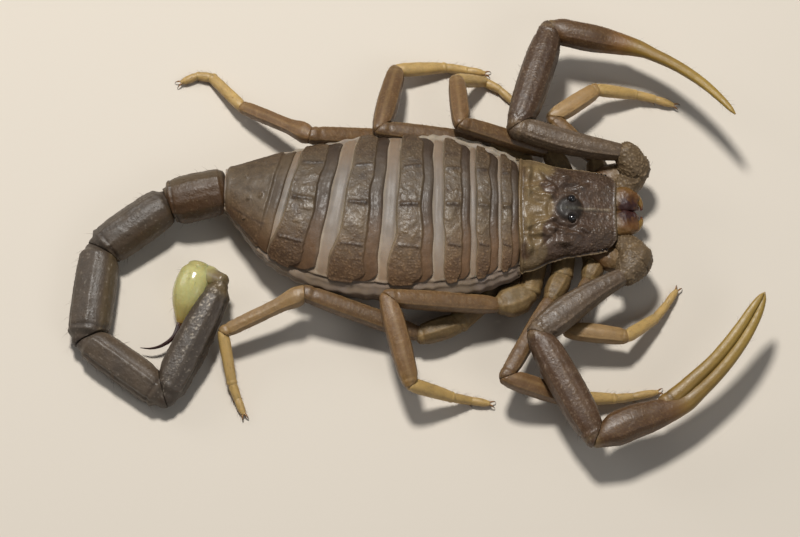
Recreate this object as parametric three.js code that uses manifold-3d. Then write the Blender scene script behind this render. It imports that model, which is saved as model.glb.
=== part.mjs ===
// Desert scorpion, life size, still pose. Millimetres, +Z up.
// Head towards +X, the animal's left side towards +Y, the floor at z = 0.
import * as THREE from 'three';
import { mergeVertices } from 'three/addons/utils/BufferGeometryUtils.js';
import Module from 'manifold-3d';

const wasm = await Module();
wasm.setup();

// ---------------------------------------------------------------- sizes
const ORIGIN = [1.349, 3.255, 0];     // middle of the footprint in working coordinates
const JOINT_GAP = 0.05;              // clearance between neighbouring pieces
const PLATE = 0.45;                  // thickness of the back plates
const BELLY_POWER = 2.4, BACK_POWER = 2.15;
const EDGE_ANGLE = 17;               // degrees above the flank where a tergite ends

// trunk stations, tail end to neck: x, mid y, half width, top z, belly z, slant of the rings
const TRUNK = [
  [-14.3, 7.08, 1.62, 4.70, 1.50, 0.02],
  [-13.0, 6.62, 2.50, 5.15, 1.25, 0.14],
  [-12.0, 6.30, 3.15, 5.50, 1.05, 0.20],
  [-10.7, 5.88, 4.10, 5.90, 0.90, 0.25],
  [-9.2, 5.45, 4.95, 6.25, 0.80, 0.26],
  [-7.3, 5.05, 5.75, 6.50, 0.70, 0.24],
  [-4.1, 4.68, 6.70, 6.80, 0.60, 0.16],
  [0.0, 4.45, 7.05, 6.90, 0.60, 0.05],
  [3.2, 4.45, 6.95, 6.85, 0.70, 0.00],
  [6.0, 4.45, 6.50, 6.60, 0.90, 0.00],
  [8.6, 4.40, 5.45, 6.30, 1.20, 0.00],
  [9.6, 4.38, 5.00, 6.15, 1.30, 0.00],
];
// head shield stations: x, mid y, half width, top z, edge z
const SHIELD = [
  [9.46, 4.38, 4.85, 5.90, 4.15],
  [10.8, 4.45, 4.60, 5.88, 4.15],
  [11.9, 4.54, 4.15, 5.78, 4.15],
  [13.3, 4.62, 3.78, 5.60, 4.10],
  [15.1, 4.70, 3.50, 5.25, 4.00],
  [16.6, 4.76, 3.20, 4.90, 3.92],
  [17.36, 4.80, 2.80, 4.68, 3.86],
];
const TERGITES = [9.38, 8.08, 6.04, 3.50, 0.08, -4.12, -8.72, -14.0];  // front edge of each plate, then the last rear edge
const STERNUM_BOTTOM = 1.0;

// leg pairs: lengths of trochanter, femur, patella, tibia, basitarsus, telotarsus; widths of femur, patella, tibia, tarsus
const LEGS = {
  1: { len: [1.38, 4.92, 4.66, 3.54, 1.63, 1.66], wid: [1.25, 1.40, 0.98, 0.78] },
  2: { len: [2.09, 8.00, 5.38, 4.08, 1.39, 2.17], wid: [1.35, 1.52, 1.02, 0.80] },
  3: { len: [2.55, 9.35, 7.14, 4.13, 1.80, 1.54], wid: [1.45, 1.74, 1.05, 0.82] },
  4: { len: [3.05, 9.94, 7.24, 4.12, 1.25, 1.44], wid: [1.45, 1.14, 0.90, 0.82] },
};
// pose: where the coxa starts and ends, then heading and climb in degrees for each of the six lengths
const LEG_POSE = {
  left_1: { root: [15.2, 5.4, 2.0], hip: [16.15, 8.61, 2.23], turn: [[101.3, 7.2], [135.1, 6.5], [36.7, -6.8], [3.1, -24.6], [-9.6, -11.6], [-15.9, -7.2]] },
  right_1: { root: [15.2, 3.9, 2.0], hip: [15.70, 0.97, 2.24], turn: [[-111.8, 8.9], [-111.0, 5.8], [-5.2, -5.1], [40.0, -25.7], [53.0, -14.4], [57.2, -7.2]] },
  left_2: { root: [13.4, 5.5, 2.0], hip: [13.30, 8.80, 2.40], turn: [[122.6, 7.5], [171.0, 24.0], [94.2, -26.0], [26.6, -50.0], [-29.0, -1.0], [-43.1, -5.0]] },
  right_2: { root: [13.4, 3.7, 2.0], hip: [12.99, -0.27, 2.45], turn: [[-114.6, 11.0], [-118.0, 8.0], [-12.6, -23.0], [4.3, -14.8], [9.0, -11.3], [13.1, -5.3]] },
  left_3: { root: [11.4, 5.6, 2.0], hip: [9.80, 10.15, 2.20], turn: [[152.3, 8.0], [177.2, 12.0], [78.4, -23.4], [9.5, -13.8], [-4.8, -9.0], [-8.5, -7.4]] },
  right_3: { root: [11.4, 3.2, 2.0], hip: [10.35, -1.70, 2.54], turn: [[-156.0, 6.3], [-178.5, 15.5], [-74.8, -11.2], [-4.9, -36.6], [1.9, -36.3], [-8.0, -1.0]] },
  left_4: { root: [9.9, 7.4, 1.6], hip: [5.05, 11.25, 1.02], turn: [[162.5, 0.5], [-175.2, 18.6], [147.7, -21.7], [130.0, -15.0], [170.0, -11.0], [203.0, -5.0]] },
  right_4: { root: [9.9, 1.2, 1.6], hip: [4.55, -3.88, 1.75], turn: [[-160.9, 1.0], [162.9, 11.6], [-155.9, -9.8], [-79.2, -23.7], [-69.5, -19.9], [-68.2, -9.2]] },
};
// pincers: lengths of trochanter, femur, patella, hand, fingers; widths; pose as for the legs
const PINCER_WIDTH = { trochanter: 2.50, femur: 1.92, patella: 2.65, hand: 2.35 };
const PINCER = {
  left: { hip: [19.00, 8.38, 3.39], len: [1.85, 9.11, 9.48, 6.46, 11.34], turn: [[115.0, 40.5], [167.8, 6.4], [72.8, -6.6], [-9.1, -7.8], [-40.8, 14.0]], bow: 1.35, open: 0.03, femurBow: 0.3, tilt: 80, spread: 0.84, tall: 0.76 },
  right: { hip: [18.95, 1.17, 3.82], len: [1.85, 9.11, 9.48, 6.52, 11.91], turn: [[-112.1, 14.1], [-143.7, 4.5], [-61.6, -6.4], [24.4, -2.6], [49.9, 8.3]], bow: 1.35, open: 0.05, femurBow: 0, tilt: 0, spread: 0.95, tall: 0.86 },
};
// tail: joint positions from the trunk to the telson, then width, height and roll of each ring
const TAIL_JOINTS = [[-14.08, 7.08, 2.95], [-18.75, 6.22, 2.35], [-24.20, 2.38, 1.70], [-25.04, -5.22, 1.60], [-18.78, -9.77, 1.38], [-14.31, -1.06, 3.05]];
const TAIL_WIDTH = [3.75, 3.42, 3.34, 3.02, 2.60];
const TAIL_HEIGHT = [3.40, 3.32, 3.35, 2.85, 2.75];
const TAIL_ROLL = [14, 58, 82, 88, 84];          // degrees the back of each ring is turned towards the inside of the loop
const VESICLE = { from: [-16.14, 0.74, 2.15], to: [-17.64, -3.60, 1.20], radius: 1.50 };
const NECK = [[-15.10, 0.05, 2.75], [-15.75, 0.40, 2.35]];
const STING = { sweep: [[-17.64, -3.60, 1.2], [-18.18, -4.81, 1.15], [-19.10, -5.50, 1.05], [-19.98, -5.72, 0.95], [-20.75, -5.64, 0.85]], thick: [0.34, 0.30, 0.27, 0.25, 0.22] };

// ---------------------------------------------------------------- helpers
const D = Math.PI / 180;
const V = (a) => new THREE.Vector3(...a);
const heading = (yaw, climb) => new THREE.Vector3(Math.cos(climb * D) * Math.cos(yaw * D), Math.cos(climb * D) * Math.sin(yaw * D), Math.sin(climb * D));
const lerp = (a, b, t) => a + (b - a) * t;

// smooth table reader (monotone cubic through the stations)
function station(table, x) {
  const n = table.length;
  if (x <= table[0][0]) return table[0].slice(1);
  if (x >= table[n - 1][0]) return table[n - 1].slice(1);
  let i = 0;
  while (x > table[i + 1][0]) i++;
  const h = table[i + 1][0] - table[i][0], t = (x - table[i][0]) / h, out = [];
  const slope = (k, c) => (k <= 0 || k >= n - 1)
    ? (k <= 0 ? (table[1][c] - table[0][c]) / (table[1][0] - table[0][0]) : (table[n - 1][c] - table[n - 2][c]) / (table[n - 1][0] - table[n - 2][0]))
    : (table[k + 1][c] - table[k - 1][c]) / (table[k + 1][0] - table[k - 1][0]);
  for (let c = 1; c < table[0].length; c++) {
    const p0 = table[i][c], p1 = table[i + 1][c], m0 = slope(i, c) * h, m1 = slope(i + 1, c) * h;
    out.push((2 * t ** 3 - 3 * t * t + 1) * p0 + (t ** 3 - 2 * t * t + t) * m0 + (-2 * t ** 3 + 3 * t * t) * p1 + (t ** 3 - t * t) * m1);
  }
  return out;
}

function geometryOf(points, faces) {
  const g = new THREE.BufferGeometry();
  g.setAttribute('position', new THREE.Float32BufferAttribute(points.flat(), 3));
  g.setIndex(faces.flat());
  return g;
}
function solidOf(geometry) {
  const g = geometry.clone();
  g.deleteAttribute('normal'); g.deleteAttribute('uv');
  const m = mergeVertices(g, 1e-6);
  let tri = Uint32Array.from(m.index.array);
  const pos = m.attributes.position.array;
  let vol = 0;
  for (let i = 0; i < tri.length; i += 3) {
    const [a, b, c] = [0, 1, 2].map((k) => new THREE.Vector3().fromArray(pos, tri[i + k] * 3));
    vol += a.dot(b.cross(c));
  }
  if (vol < 0) for (let i = 0; i < tri.length; i += 3) [tri[i + 1], tri[i + 2]] = [tri[i + 2], tri[i + 1]];
  return new wasm.Manifold(new wasm.Mesh({ numProp: 3, vertProperties: Float32Array.from(pos), triVerts: tri }));
}
const biggest = (s) => s.decompose().sort((a, b) => b.volume() - a.volume())[0];

// closed skin over a stack of rings with the same number of points
function loft(rings) {
  const n = rings[0].length, pts = rings.flat(), faces = [];
  for (let k = 0; k < rings.length - 1; k++)
    for (let i = 0; i < n; i++) {
      const a = k * n + i, b = k * n + (i + 1) % n, c = a + n, d = b + n;
      faces.push([a, b, d], [a, d, c]);
    }
  const mean = (r) => [0, 1, 2].map((c) => r.reduce((s, p) => s + p[c], 0) / n);
  const s = pts.push(mean(rings[0])) - 1, e = pts.push(mean(rings[rings.length - 1])) - 1, last = (rings.length - 1) * n;
  for (let i = 0; i < n; i++) { faces.push([s, (i + 1) % n, i]); faces.push([e, last + i, last + (i + 1) % n]); }
  return solidOf(geometryOf(pts, faces));
}
// closed plate between an outer and an inner sheet, each a function of u and v in 0..1
function plate(outer, inner, nu, nv) {
  const pts = [], faces = [], at = (s, i, j) => s * (nu + 1) * (nv + 1) + j * (nu + 1) + i;
  for (const f of [outer, inner]) for (let j = 0; j <= nv; j++) for (let i = 0; i <= nu; i++) pts.push(f(i / nu, j / nv));
  const quad = (a, b, c, d) => faces.push([a, b, c], [a, c, d]);
  for (let j = 0; j < nv; j++) for (let i = 0; i < nu; i++) {
    quad(at(0, i, j), at(0, i + 1, j), at(0, i + 1, j + 1), at(0, i, j + 1));
    quad(at(1, i, j), at(1, i, j + 1), at(1, i + 1, j + 1), at(1, i + 1, j));
  }
  for (let i = 0; i < nu; i++) {
    quad(at(0, i, 0), at(1, i, 0), at(1, i + 1, 0), at(0, i + 1, 0));
    quad(at(0, i, nv), at(0, i + 1, nv), at(1, i + 1, nv), at(1, i, nv));
  }
  for (let j = 0; j < nv; j++) {
    quad(at(0, 0, j), at(0, 0, j + 1), at(1, 0, j + 1), at(1, 0, j));
    quad(at(0, nu, j), at(1, nu, j), at(1, nu, j + 1), at(0, nu, j + 1));
  }
  return solidOf(geometryOf(pts, faces));
}
// limb section: n-sided oval of half width a and half height b in the plane across the limb
function ring(centre, along, up, a, b, n, power = 2.3) {
  const side = new THREE.Vector3().crossVectors(up, along).normalize();
  const rise = new THREE.Vector3().crossVectors(along, side).normalize();
  const out = [];
  for (let i = 0; i < n; i++) {
    const q = (i + 0.5) / n * 2 * Math.PI, c = Math.cos(q), s = Math.sin(q);
    const x = a * Math.sign(c) * Math.abs(c) ** (2 / power), y = b * Math.sign(s) * Math.abs(s) ** (2 / power);
    out.push([centre.x + side.x * x + rise.x * y, centre.y + side.y * x + rise.y * y, centre.z + side.z * x + rise.z * y]);
  }
  return out;
}
const UP = new THREE.Vector3(0, 0, 1);
// one straight limb piece from p to q with rounded ends; profile is [t, half width, half height]
function limb(p, q, profile, n, up = UP, over0 = 0.45, over1 = 0.45, bend = null, power = 2.3) {
  const dir = q.clone().sub(p), L = dir.length(); dir.normalize();
  const rings = [], first = profile[0], last = profile[profile.length - 1];
  const side = new THREE.Vector3().crossVectors(up, dir).normalize();
  const at = (t) => { const c = p.clone().addScaledVector(dir, t * L); if (bend) c.addScaledVector(side, bend(t)); return c; };
  if (over0 > 0) { rings.push(ring(p.clone().addScaledVector(dir, -over0 * first[1] * 2), dir, up, first[1] * 0.45, first[2] * 0.45, n, power)); rings.push(ring(p.clone().addScaledVector(dir, -over0 * first[1] * 1.3), dir, up, first[1] * 0.82, first[2] * 0.82, n, power)); }
  for (const [t, a, b] of profile) rings.push(ring(at(t), dir, up, a, b, n, power));
  if (over1 > 0) { rings.push(ring(q.clone().addScaledVector(dir, over1 * last[1] * 1.3), dir, up, last[1] * 0.82, last[2] * 0.82, n, power)); rings.push(ring(q.clone().addScaledVector(dir, over1 * last[1] * 2), dir, up, last[1] * 0.45, last[2] * 0.45, n, power)); }
  return loft(rings);
}
// one swept piece through several points; sizes give half width and half height at each point
function sweep(points, sizes, n, up = UP, power = 2.3) {
  const rings = points.map((c, i) => {
    const a = points[Math.max(0, i - 1)], b = points[Math.min(points.length - 1, i + 1)];
    const d0 = i ? c.clone().sub(a).normalize() : null, d1 = i < points.length - 1 ? b.clone().sub(c).normalize() : null;
    const along = d0 && d1 ? d0.clone().add(d1).normalize() : (d0 || d1).clone();
    return ring(c, along, up, sizes[i][0], sizes[i][1], n, power);
  });
  return loft(rings);
}
// keep the part of a solid on the far (+1) or near (-1) side of the plane between two directions at a joint
function mitre(solid, joint, before, after, keep, normal = null) {
  const nrm = (normal || before.clone().add(after)).clone().normalize().multiplyScalar(keep);
  return solid.trimByPlane([nrm.x, nrm.y, nrm.z], nrm.dot(joint) + JOINT_GAP / 2);
}
const grounded = (s) => s.trimByPlane([0, 0, 1], 0);

const root = new THREE.Group();
root.name = 'scorpion';
root.position.set(-ORIGIN[0], -ORIGIN[1], -ORIGIN[2]);
const finish = (hex, roughness) => ({ color: new THREE.Color(hex), roughness, metalness: 0 });
const SHELL = finish('#5a5142', 0.5), FLANK = finish('#8a8272', 0.6), HEAD = finish('#3e3430', 0.45), TAIL = finish('#4a4239', 0.5);
const ARM = finish('#4b4540', 0.45), LEG = finish('#7d6a4c', 0.55), FOOT = finish('#a08a55', 0.5), FINGER = finish('#94803f', 0.45);
const AMBER = finish('#b8a562', 0.3), DARK = finish('#1c1512', 0.25), JAW = finish('#a5823f', 0.4);
function add(name, solid, look) {
  const g = new THREE.BufferGeometry(), m = solid.getMesh();
  g.setAttribute('position', new THREE.BufferAttribute(Float32Array.from(m.vertProperties), 3));
  g.setIndex(new THREE.BufferAttribute(Uint32Array.from(m.triVerts), 1));
  g.computeVertexNormals();
  const mesh = new THREE.Mesh(g, new THREE.MeshStandardMaterial(look));
  mesh.name = name;
  root.add(mesh);
}

// ---------------------------------------------------------------- trunk
const superp = (v, p) => Math.sign(v) * Math.abs(v) ** (2 / p);
// point of the trunk surface: x, angle from the left flank over the back, depth below the surface
function trunkPoint(x, deg, depth = 0) {
  const [yc, w, top, belly, slant] = station(TRUNK, x);
  const zc = lerp(belly, top, 0.48), c = Math.cos(deg * D), s = Math.sin(deg * D);
  const p = s >= 0 ? BACK_POWER : BELLY_POWER;
  let y = superp(c, p) * w, z = superp(s, p) * (s >= 0 ? top - zc : zc - belly);
  const r = Math.hypot(y, z), k = (r - depth) / r;
  return [x + slant * y * k, yc + y * k, zc + z * k];
}
const tergiteSpan = (u) => lerp(EDGE_ANGLE, 180 - EDGE_ANGLE, u);
const BACK_N = 12;
const tergite = (i) => {
  const x1 = TERGITES[i] - JOINT_GAP, x0 = TERGITES[i + 1];
  const nv = i === 6 ? 4 : 2;
  return plate((u, v) => trunkPoint(lerp(x0, x1, v), tergiteSpan(u)), (u, v) => trunkPoint(lerp(x0, x1, v), tergiteSpan(u), PLATE), BACK_N, nv);
};
function trunkBody(inflate = 0) {
  const xs = [-14.15, -13, -12, -10.7, -9.2, -7.3, -4.1, -0.5, 3.2, 6, 8.6, 9.38].map((x, i, a) => i === 0 ? x - inflate : i === a.length - 1 ? x + inflate : x);
  const angles = [];
  const e = EDGE_ANGLE;
  for (let k = 0; k <= 8; k++) angles.push([lerp(e, 180 - e, k / 8), PLATE + JOINT_GAP]);
  angles.push([180 - e + 1.5, 0]);
  for (let k = 0; k <= 9; k++) angles.push([lerp(180 - e + 12, 360 + e - 12, k / 9), 0]);
  angles.push([360 + e - 1.5, 0]);
  return loft(xs.map((x) => angles.map(([a, d]) => trunkPoint(x, a, d - inflate))));
}
// head shield surface and the head body under it
function shieldPoint(x, u, depth = 0) {
  const [yc, w, top, edge] = station(SHIELD, x);
  const q = lerp(0, 180, u) * D, y = superp(Math.cos(q), 2.7) * (w - depth * 0.6), z = superp(Math.sin(q), 2.1) * (top - edge);
  return [x, yc + y, edge + z - depth];
}
const FRONT_X = 17.36, NOTCH = 0.35;
const shieldX = (u, v) => { const c = Math.cos(lerp(0, 180, u) * D); return lerp(9.46, FRONT_X - NOTCH * Math.exp(-((c / 0.35) ** 2)), v); };
const carapace = plate((u, v) => shieldPoint(shieldX(u, v), u), (u, v) => shieldPoint(shieldX(u, v) - (v > 0.99 ? 0.02 : 0), u, 0.5), 14, 5);
function headBody(inflate = 0) {
  const rows = [];
  for (const x of [9.46 - inflate, 11, 12.5, 14, 15.5, 16.9 + inflate]) {
    const [yc, w, top, edge] = station(SHIELD, x), r = [];
    for (let k = 0; k <= 8; k++) { const [, y, z] = shieldPoint(x, k / 8, 0.5 + JOINT_GAP); r.push([x, y + inflate * Math.sign(yc - y) * -1, z + inflate]); }
    const low = STERNUM_BOTTOM - inflate;
    for (const [f, z] of [[-0.93, edge - 1.4], [-0.72, low + 0.35], [-0.35, low], [0.35, low], [0.72, low + 0.35], [0.93, edge - 1.4]]) r.push([x, yc + f * (w + inflate), z]);
    rows.push(r);
  }
  return loft(rows);
}
const trunk = grounded(trunkBody());
const head = headBody();
const outerTrunk = (inflate) => loft([-14.15, -9.2, -4.1, 0, 4, 7, 9.38].map((x) => Array.from({ length: 16 }, (_, k) => trunkPoint(x, k / 16 * 360, -inflate))));
const keepOut = headBody(JOINT_GAP).add(outerTrunk(3 * JOINT_GAP));

add('carapace', carapace, HEAD);
add('prosoma_underside', head, FLANK);
for (let i = 0; i < 7; i++) add(`tergite_${i + 1}`, tergite(i), SHELL);
add('mesosoma_body', trunk, FLANK);

// eyes: two domes set on the middle of the shield
const EYE_X = 13.62, EYE_SPREAD = 0.80, EYE_R = 0.36;
for (const [name, sgn] of [['eye_left', 1], ['eye_right', -1]]) {
  const [yc, , top] = station(SHIELD, EYE_X);
  const g = new THREE.SphereGeometry(EYE_R, 10, 7); g.translate(EYE_X, yc + sgn * EYE_SPREAD, top + 0.12);
  const shieldSkin = plate((u, v) => { const p = shieldPoint(shieldX(u, v), u); return [p[0], p[1], p[2] + JOINT_GAP]; }, (u, v) => shieldPoint(shieldX(u, v), u, 0.8), 14, 5);
  add(name, biggest(solidOf(g).subtract(shieldSkin).trimByPlane([0, 0, 1], top - 0.2)), DARK);
}

// pectines: combs folded flat under the front of the belly
for (const [name, sgn] of [['pecten_left', 1], ['pecten_right', -1]]) {
  const pts = [], sizes = [];
  for (let k = 0; k <= 4; k++) { const t = k / 4; pts.push(new THREE.Vector3(8.3 - 4.6 * t, 4.28 + sgn * (0.7 + 3.3 * t), lerp(0.62, 0.36, t))); sizes.push([lerp(0.62, 0.42, t) * (k === 4 ? 0.6 : 1), 0.26]); }
  add(name, biggest(grounded(sweep(pts, sizes, 8)).subtract(keepOut)), FLANK);
}

// jaws: a short barrel with a curved finger, one each side of the middle
const jaw = (sgn, grow) => {
  const y = 4.92 + sgn * 0.98;
  return sweep([[16.95, y, 3.85], [17.6, y, 4.0], [18.5, y + sgn * 0.02, 3.95], [19.05, y - sgn * 0.12, 3.75], [19.45, y - sgn * 0.42, 3.5]].map(V),
    [[0.8, 0.78], [0.9, 0.88], [0.78, 0.74], [0.45, 0.42], [0.16, 0.16]].map(([a, b]) => [a + grow, b + grow]), 10);
};
for (const [name, sgn] of [['chelicera_left', 1], ['chelicera_right', -1]]) add(name, biggest(jaw(sgn, 0).subtract(keepOut).subtract(carapace)), JAW);

// ---------------------------------------------------------------- tail
const tailDir = TAIL_JOINTS.slice(1).map((p, i) => V(p).sub(V(TAIL_JOINTS[i])).normalize());
const tailUp = tailDir.map((d, i) => {
  const inside = new THREE.Vector3(-d.y, d.x, 0).normalize();     // towards the inside of the loop
  return UP.clone().multiplyScalar(Math.cos(TAIL_ROLL[i] * D)).addScaledVector(inside, Math.sin(TAIL_ROLL[i] * D));
});
const FIFTH = [[0, 0.86, 0.88], [0.18, 1, 1], [0.5, 1, 1], [0.75, 0.9, 0.88], [0.93, 0.72, 0.68], [1, 0.55, 0.52]];   // outline of the last ring
for (let i = 0; i < 5; i++) {
  const a = TAIL_WIDTH[i] / 2, b = TAIL_HEIGHT[i] / 2, last = i === 4;
  const profile = last ? FIFTH.map(([t, p, q]) => [t, p * a, q * b])
    : [[0, 0.84 * a, 0.86 * b], [0.14, 0.97 * a, 0.97 * b], [0.5, a, b], [0.84, 0.98 * a, 0.98 * b], [1, 0.84 * a, 0.86 * b]];
  let s = limb(V(TAIL_JOINTS[i]), V(TAIL_JOINTS[i + 1]), profile, last ? 12 : 10, tailUp[i], i ? 0.42 : 0.2, last ? 0.3 : 0.42, null, 2.7);
  if (i) s = mitre(s, V(TAIL_JOINTS[i]), tailDir[i - 1], tailDir[i], 1);
  else s = mitre(s, V([-14.24, 7.08, 2.95]), null, null, 1, V([-1, 0, 0]));
  if (!last) s = mitre(s, V(TAIL_JOINTS[i + 1]), tailDir[i], tailDir[i + 1], -1);
  add(`metasoma_${i + 1}`, biggest(grounded(s)), TAIL);
}
{
  const from = V(VESICLE.from), to = V(VESICLE.to), r = VESICLE.radius, rings = [];
  const dir = to.clone().sub(from), L = dir.length(); dir.normalize();
  for (const [t, k] of [[-0.06, 0.2], [0, 0.5], [0.12, 0.84], [0.3, 1], [0.5, 0.97], [0.7, 0.78], [0.88, 0.45], [1, 0.24]]) rings.push(ring(from.clone().addScaledVector(dir, t * L), dir, UP, r * k, r * k * 0.97, 12, 2));
  const end = V(TAIL_JOINTS[5]);
  const neck = sweep([end.clone().addScaledVector(tailDir[4], 0.02), end.clone().addScaledVector(tailDir[4], 0.42), V(NECK[0]), V(NECK[1]), from.clone().addScaledVector(dir, 0.8)], [[0.5, 0.55], [0.56, 0.6], [0.58, 0.62], [0.62, 0.66], [0.7, 0.7]], 10);
  const w5 = TAIL_WIDTH[4] / 2 + JOINT_GAP, h5 = TAIL_HEIGHT[4] / 2 + JOINT_GAP;
  const fifthGrown = limb(V(TAIL_JOINTS[4]), V(TAIL_JOINTS[5]), FIFTH.map(([t, a, b]) => [t, a * w5, b * h5]), 12, tailUp[4], 0.42, 0.34, null, 2.7);
  let v = loft(rings).add(neck).subtract(fifthGrown);
  v = mitre(v, to, dir, dir, -1);
  add('telson_vesicle', biggest(grounded(v)), AMBER);
  const pts = STING.sweep.map(V);
  let sting = sweep(pts, STING.thick.map((k, i) => [k * (i === 4 ? 0.75 : 1), k * (i === 4 ? 0.75 : 1)]), 8);
  sting = mitre(sting, to, dir, dir, 1);
  add('aculeus', biggest(sting), DARK);
}

// ---------------------------------------------------------------- pincers
const armParts = [];
for (const side of ['left', 'right']) {
  const P = PINCER[side], J = [V(P.hip)], dirs = P.turn.map(([y, c]) => heading(y, c));
  P.len.forEach((l, i) => J.push(J[i].clone().addScaledVector(dirs[i], l)));
  const W = PINCER_WIDTH;
  let tro = sweep([V([17.1, J[0].y * 0.4 + 4.8 * 0.6, 2.3]), J[0], J[0].clone().lerp(J[1], 0.6), J[1].clone().addScaledVector(dirs[0].clone().add(dirs[1]).normalize(), 0.55)],
    [[0.9, 0.95], [1.2, 1.25], [W.trochanter / 2, W.trochanter / 2], [0.8, 0.85]], 10);
  tro = mitre(tro, J[1].clone().addScaledVector(dirs[1], 0.55), dirs[1], dirs[1], -1);
  tro = biggest(tro.subtract(keepOut).subtract(jaw(side === 'left' ? 1 : -1, JOINT_GAP)).subtract(carapace.translate([0, 0, -JOINT_GAP])));
  let fem = limb(J[1], J[2], [[0.03, 0.72, 0.74], [0.16, 0.92, 0.9], [0.55, W.femur / 2, 0.98], [0.88, W.femur / 2, 0.98], [1, 0.94, 0.9]], 10, UP, 0, 0.42, (t) => P.femurBow * Math.sin(Math.PI * t), 2.6);
  fem = mitre(fem, J[1].clone().addScaledVector(dirs[1], 0.55), dirs[1], dirs[1], 1);
  fem = mitre(fem, J[2], dirs[1], dirs[2], -1);
  let pat = limb(J[2], J[3], [[0, 0.95, 0.95], [0.12, 1.15, 1.15], [0.4, W.patella / 2, 1.25], [0.75, W.patella / 2 * 0.97, 1.22], [0.93, 1.05, 1.05], [1, 0.88, 0.9]], 10, UP, 0.42, 0.4, null, 2.6);
  pat = mitre(pat, J[2], dirs[1], dirs[2], 1);
  pat = mitre(pat, J[3], dirs[2], dirs[3], -1);
  // hand with the fixed finger growing from its outer side, and the movable finger beside it
  const sgn = side === 'left' ? 1 : -1, out = new THREE.Vector3().crossVectors(UP, dirs[4]).normalize().multiplyScalar(sgn);
  // the two fingers lie side by side on the right; on the left the hand is turned and they lie one over the other
  const apart = out.clone().multiplyScalar(Math.cos(P.tilt * D)).addScaledVector(UP, Math.sin(P.tilt * D)), step = 0.12 * Math.cos(P.tilt * D);
  const tip = J[5], arc = (t, off, lift) => J[4].clone().lerp(tip, t).addScaledVector(out, P.bow * 4 * t * (1 - t) * 0.62).addScaledVector(apart, off).addScaledVector(UP, lift);
  const palm = (g) => limb(J[3], J[4], [[0, 0.8, 0.82], [0.12, 1.05, 1.05], [0.45, W.hand / 2, 1.18], [0.8, 1.1, 1.05], [1, 0.82, 0.85]].map(([t, a, b]) => [t, a + g, b + g]), 10, UP, 0.42, 0.2, null, 2.3);
  let hand = palm(0);
  hand = mitre(hand, J[3], dirs[2], dirs[3], 1);
  const ts = [-0.05, 0.15, 0.36, 0.58, 0.8, 1], fat = [0.66, 0.58, 0.49, 0.44, 0.36, 0.17];
  const gapAt = (t) => P.open * Math.sin(Math.PI * Math.min(1, Math.max(0, t))) + 0.03;
  const fixed = (g) => sweep(ts.map((t, i) => arc(t, fat[i] * P.spread + gapAt(t), -step)), fat.map((f) => [f * 0.92 + g, f * P.tall + g]), 8);
  let mov = sweep(ts.map((t, i) => arc(t * 0.985, -(fat[i] * P.spread + gapAt(t)), step)), fat.map((f) => [f * 0.92, f * P.tall]), 8);
  hand = biggest(hand.add(fixed(0)));
  mov = biggest(mov.subtract(palm(JOINT_GAP)).subtract(fixed(JOINT_GAP)));
  mov = mitre(mov, J[4].clone().addScaledVector(dirs[4], 0.3), dirs[4], dirs[4], 1);
  add(`pedipalp_${side}_trochanter`, tro, ARM);
  add(`pedipalp_${side}_femur`, biggest(fem), ARM);
  add(`pedipalp_${side}_patella`, biggest(pat), ARM);
  add(`pedipalp_${side}_hand_fixed_finger`, hand, FINGER);
  add(`pedipalp_${side}_movable_finger`, biggest(mov), FINGER);
  armParts.push(tro);
}

// ---------------------------------------------------------------- legs
const coxaBefore = {};
for (const [name, pose] of Object.entries(LEG_POSE)) {
  const [side, k] = name.split('_'), leg = LEGS[k], dirs = pose.turn.map(([y, c]) => heading(y, c));
  const J = [V(pose.hip)];
  leg.len.forEach((l, i) => J.push(J[i].clone().addScaledVector(dirs[i], l)));
  const [wf, wp, wt, ws] = leg.wid.map((w) => w / 2);
  // coxa and trochanter in one piece with the femur
  const basePart = (g) => sweep([V(pose.root), V(pose.hip), J[1], J[1].clone().addScaledVector(dirs[1], 0.7)], [[0.85, 0.75], [0.92, 0.85], [wf * 1.15, wf * 1.15], [wf * 0.8, wf * 0.85]].map(([a, b]) => [a + g, b + g]), 7);
  const base = basePart(0);
  let fem = limb(J[1], J[2], [[0.05, wf * 0.85, wf * 0.9], [0.3, wf, wf * 1.05], [0.75, wf, wf * 1.08], [1, wf * 0.92, wf]], 7, UP, 0, 0.42);
  fem = mitre(fem, J[2], dirs[1], dirs[2], -1).add(base);
  fem = fem.subtract(keepOut).subtract(armParts[side === 'left' ? 0 : 1]);
  if (coxaBefore[side]) fem = fem.subtract(coxaBefore[side]);      // each coxa rests against the one in front
  coxaBefore[side] = basePart(JOINT_GAP);
  let pat = limb(J[2], J[3], [[0, wf * 0.86, wf * 0.9], [0.3, wp, wp * 1.02], [0.62, wp * 0.96, wp], [1, wt * 0.98, wt]], 7, UP, 0.42, 0.4);
  pat = mitre(pat, J[2], dirs[1], dirs[2], 1);
  pat = mitre(pat, J[3], dirs[2], dirs[3], -1);
  // tibia, basitarsus and telotarsus swept as the foot, ending in a small flat on the floor
  const pts = [J[3].clone().addScaledVector(dirs[3], -0.35), J[3].clone().lerp(J[4], 0.3), J[4], J[4].clone().lerp(J[5], 0.5), J[5], J[5].clone().lerp(J[6], 0.6), J[6].clone().setZ(0.32), J[6].clone().addScaledVector(dirs[5], 0.18).setZ(0.16)];
  const sz = [[wt * 0.85, wt * 0.85], [wt, wt], [ws * 0.96, ws], [ws, ws], [ws * 0.82, ws * 0.9], [ws * 0.86, ws * 0.95], [ws * 0.72, 0.42], [ws * 0.5, 0.26]];
  let foot = mitre(sweep(pts, sz, 8), J[3], dirs[2], dirs[3], 1);
  add(`leg_${side}_${k}_femur`, biggest(grounded(fem)), LEG);
  add(`leg_${side}_${k}_patella`, biggest(grounded(pat)), LEG);
  add(`leg_${side}_${k}_foot`, biggest(grounded(foot)), FOOT);
}

export default root;
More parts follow.
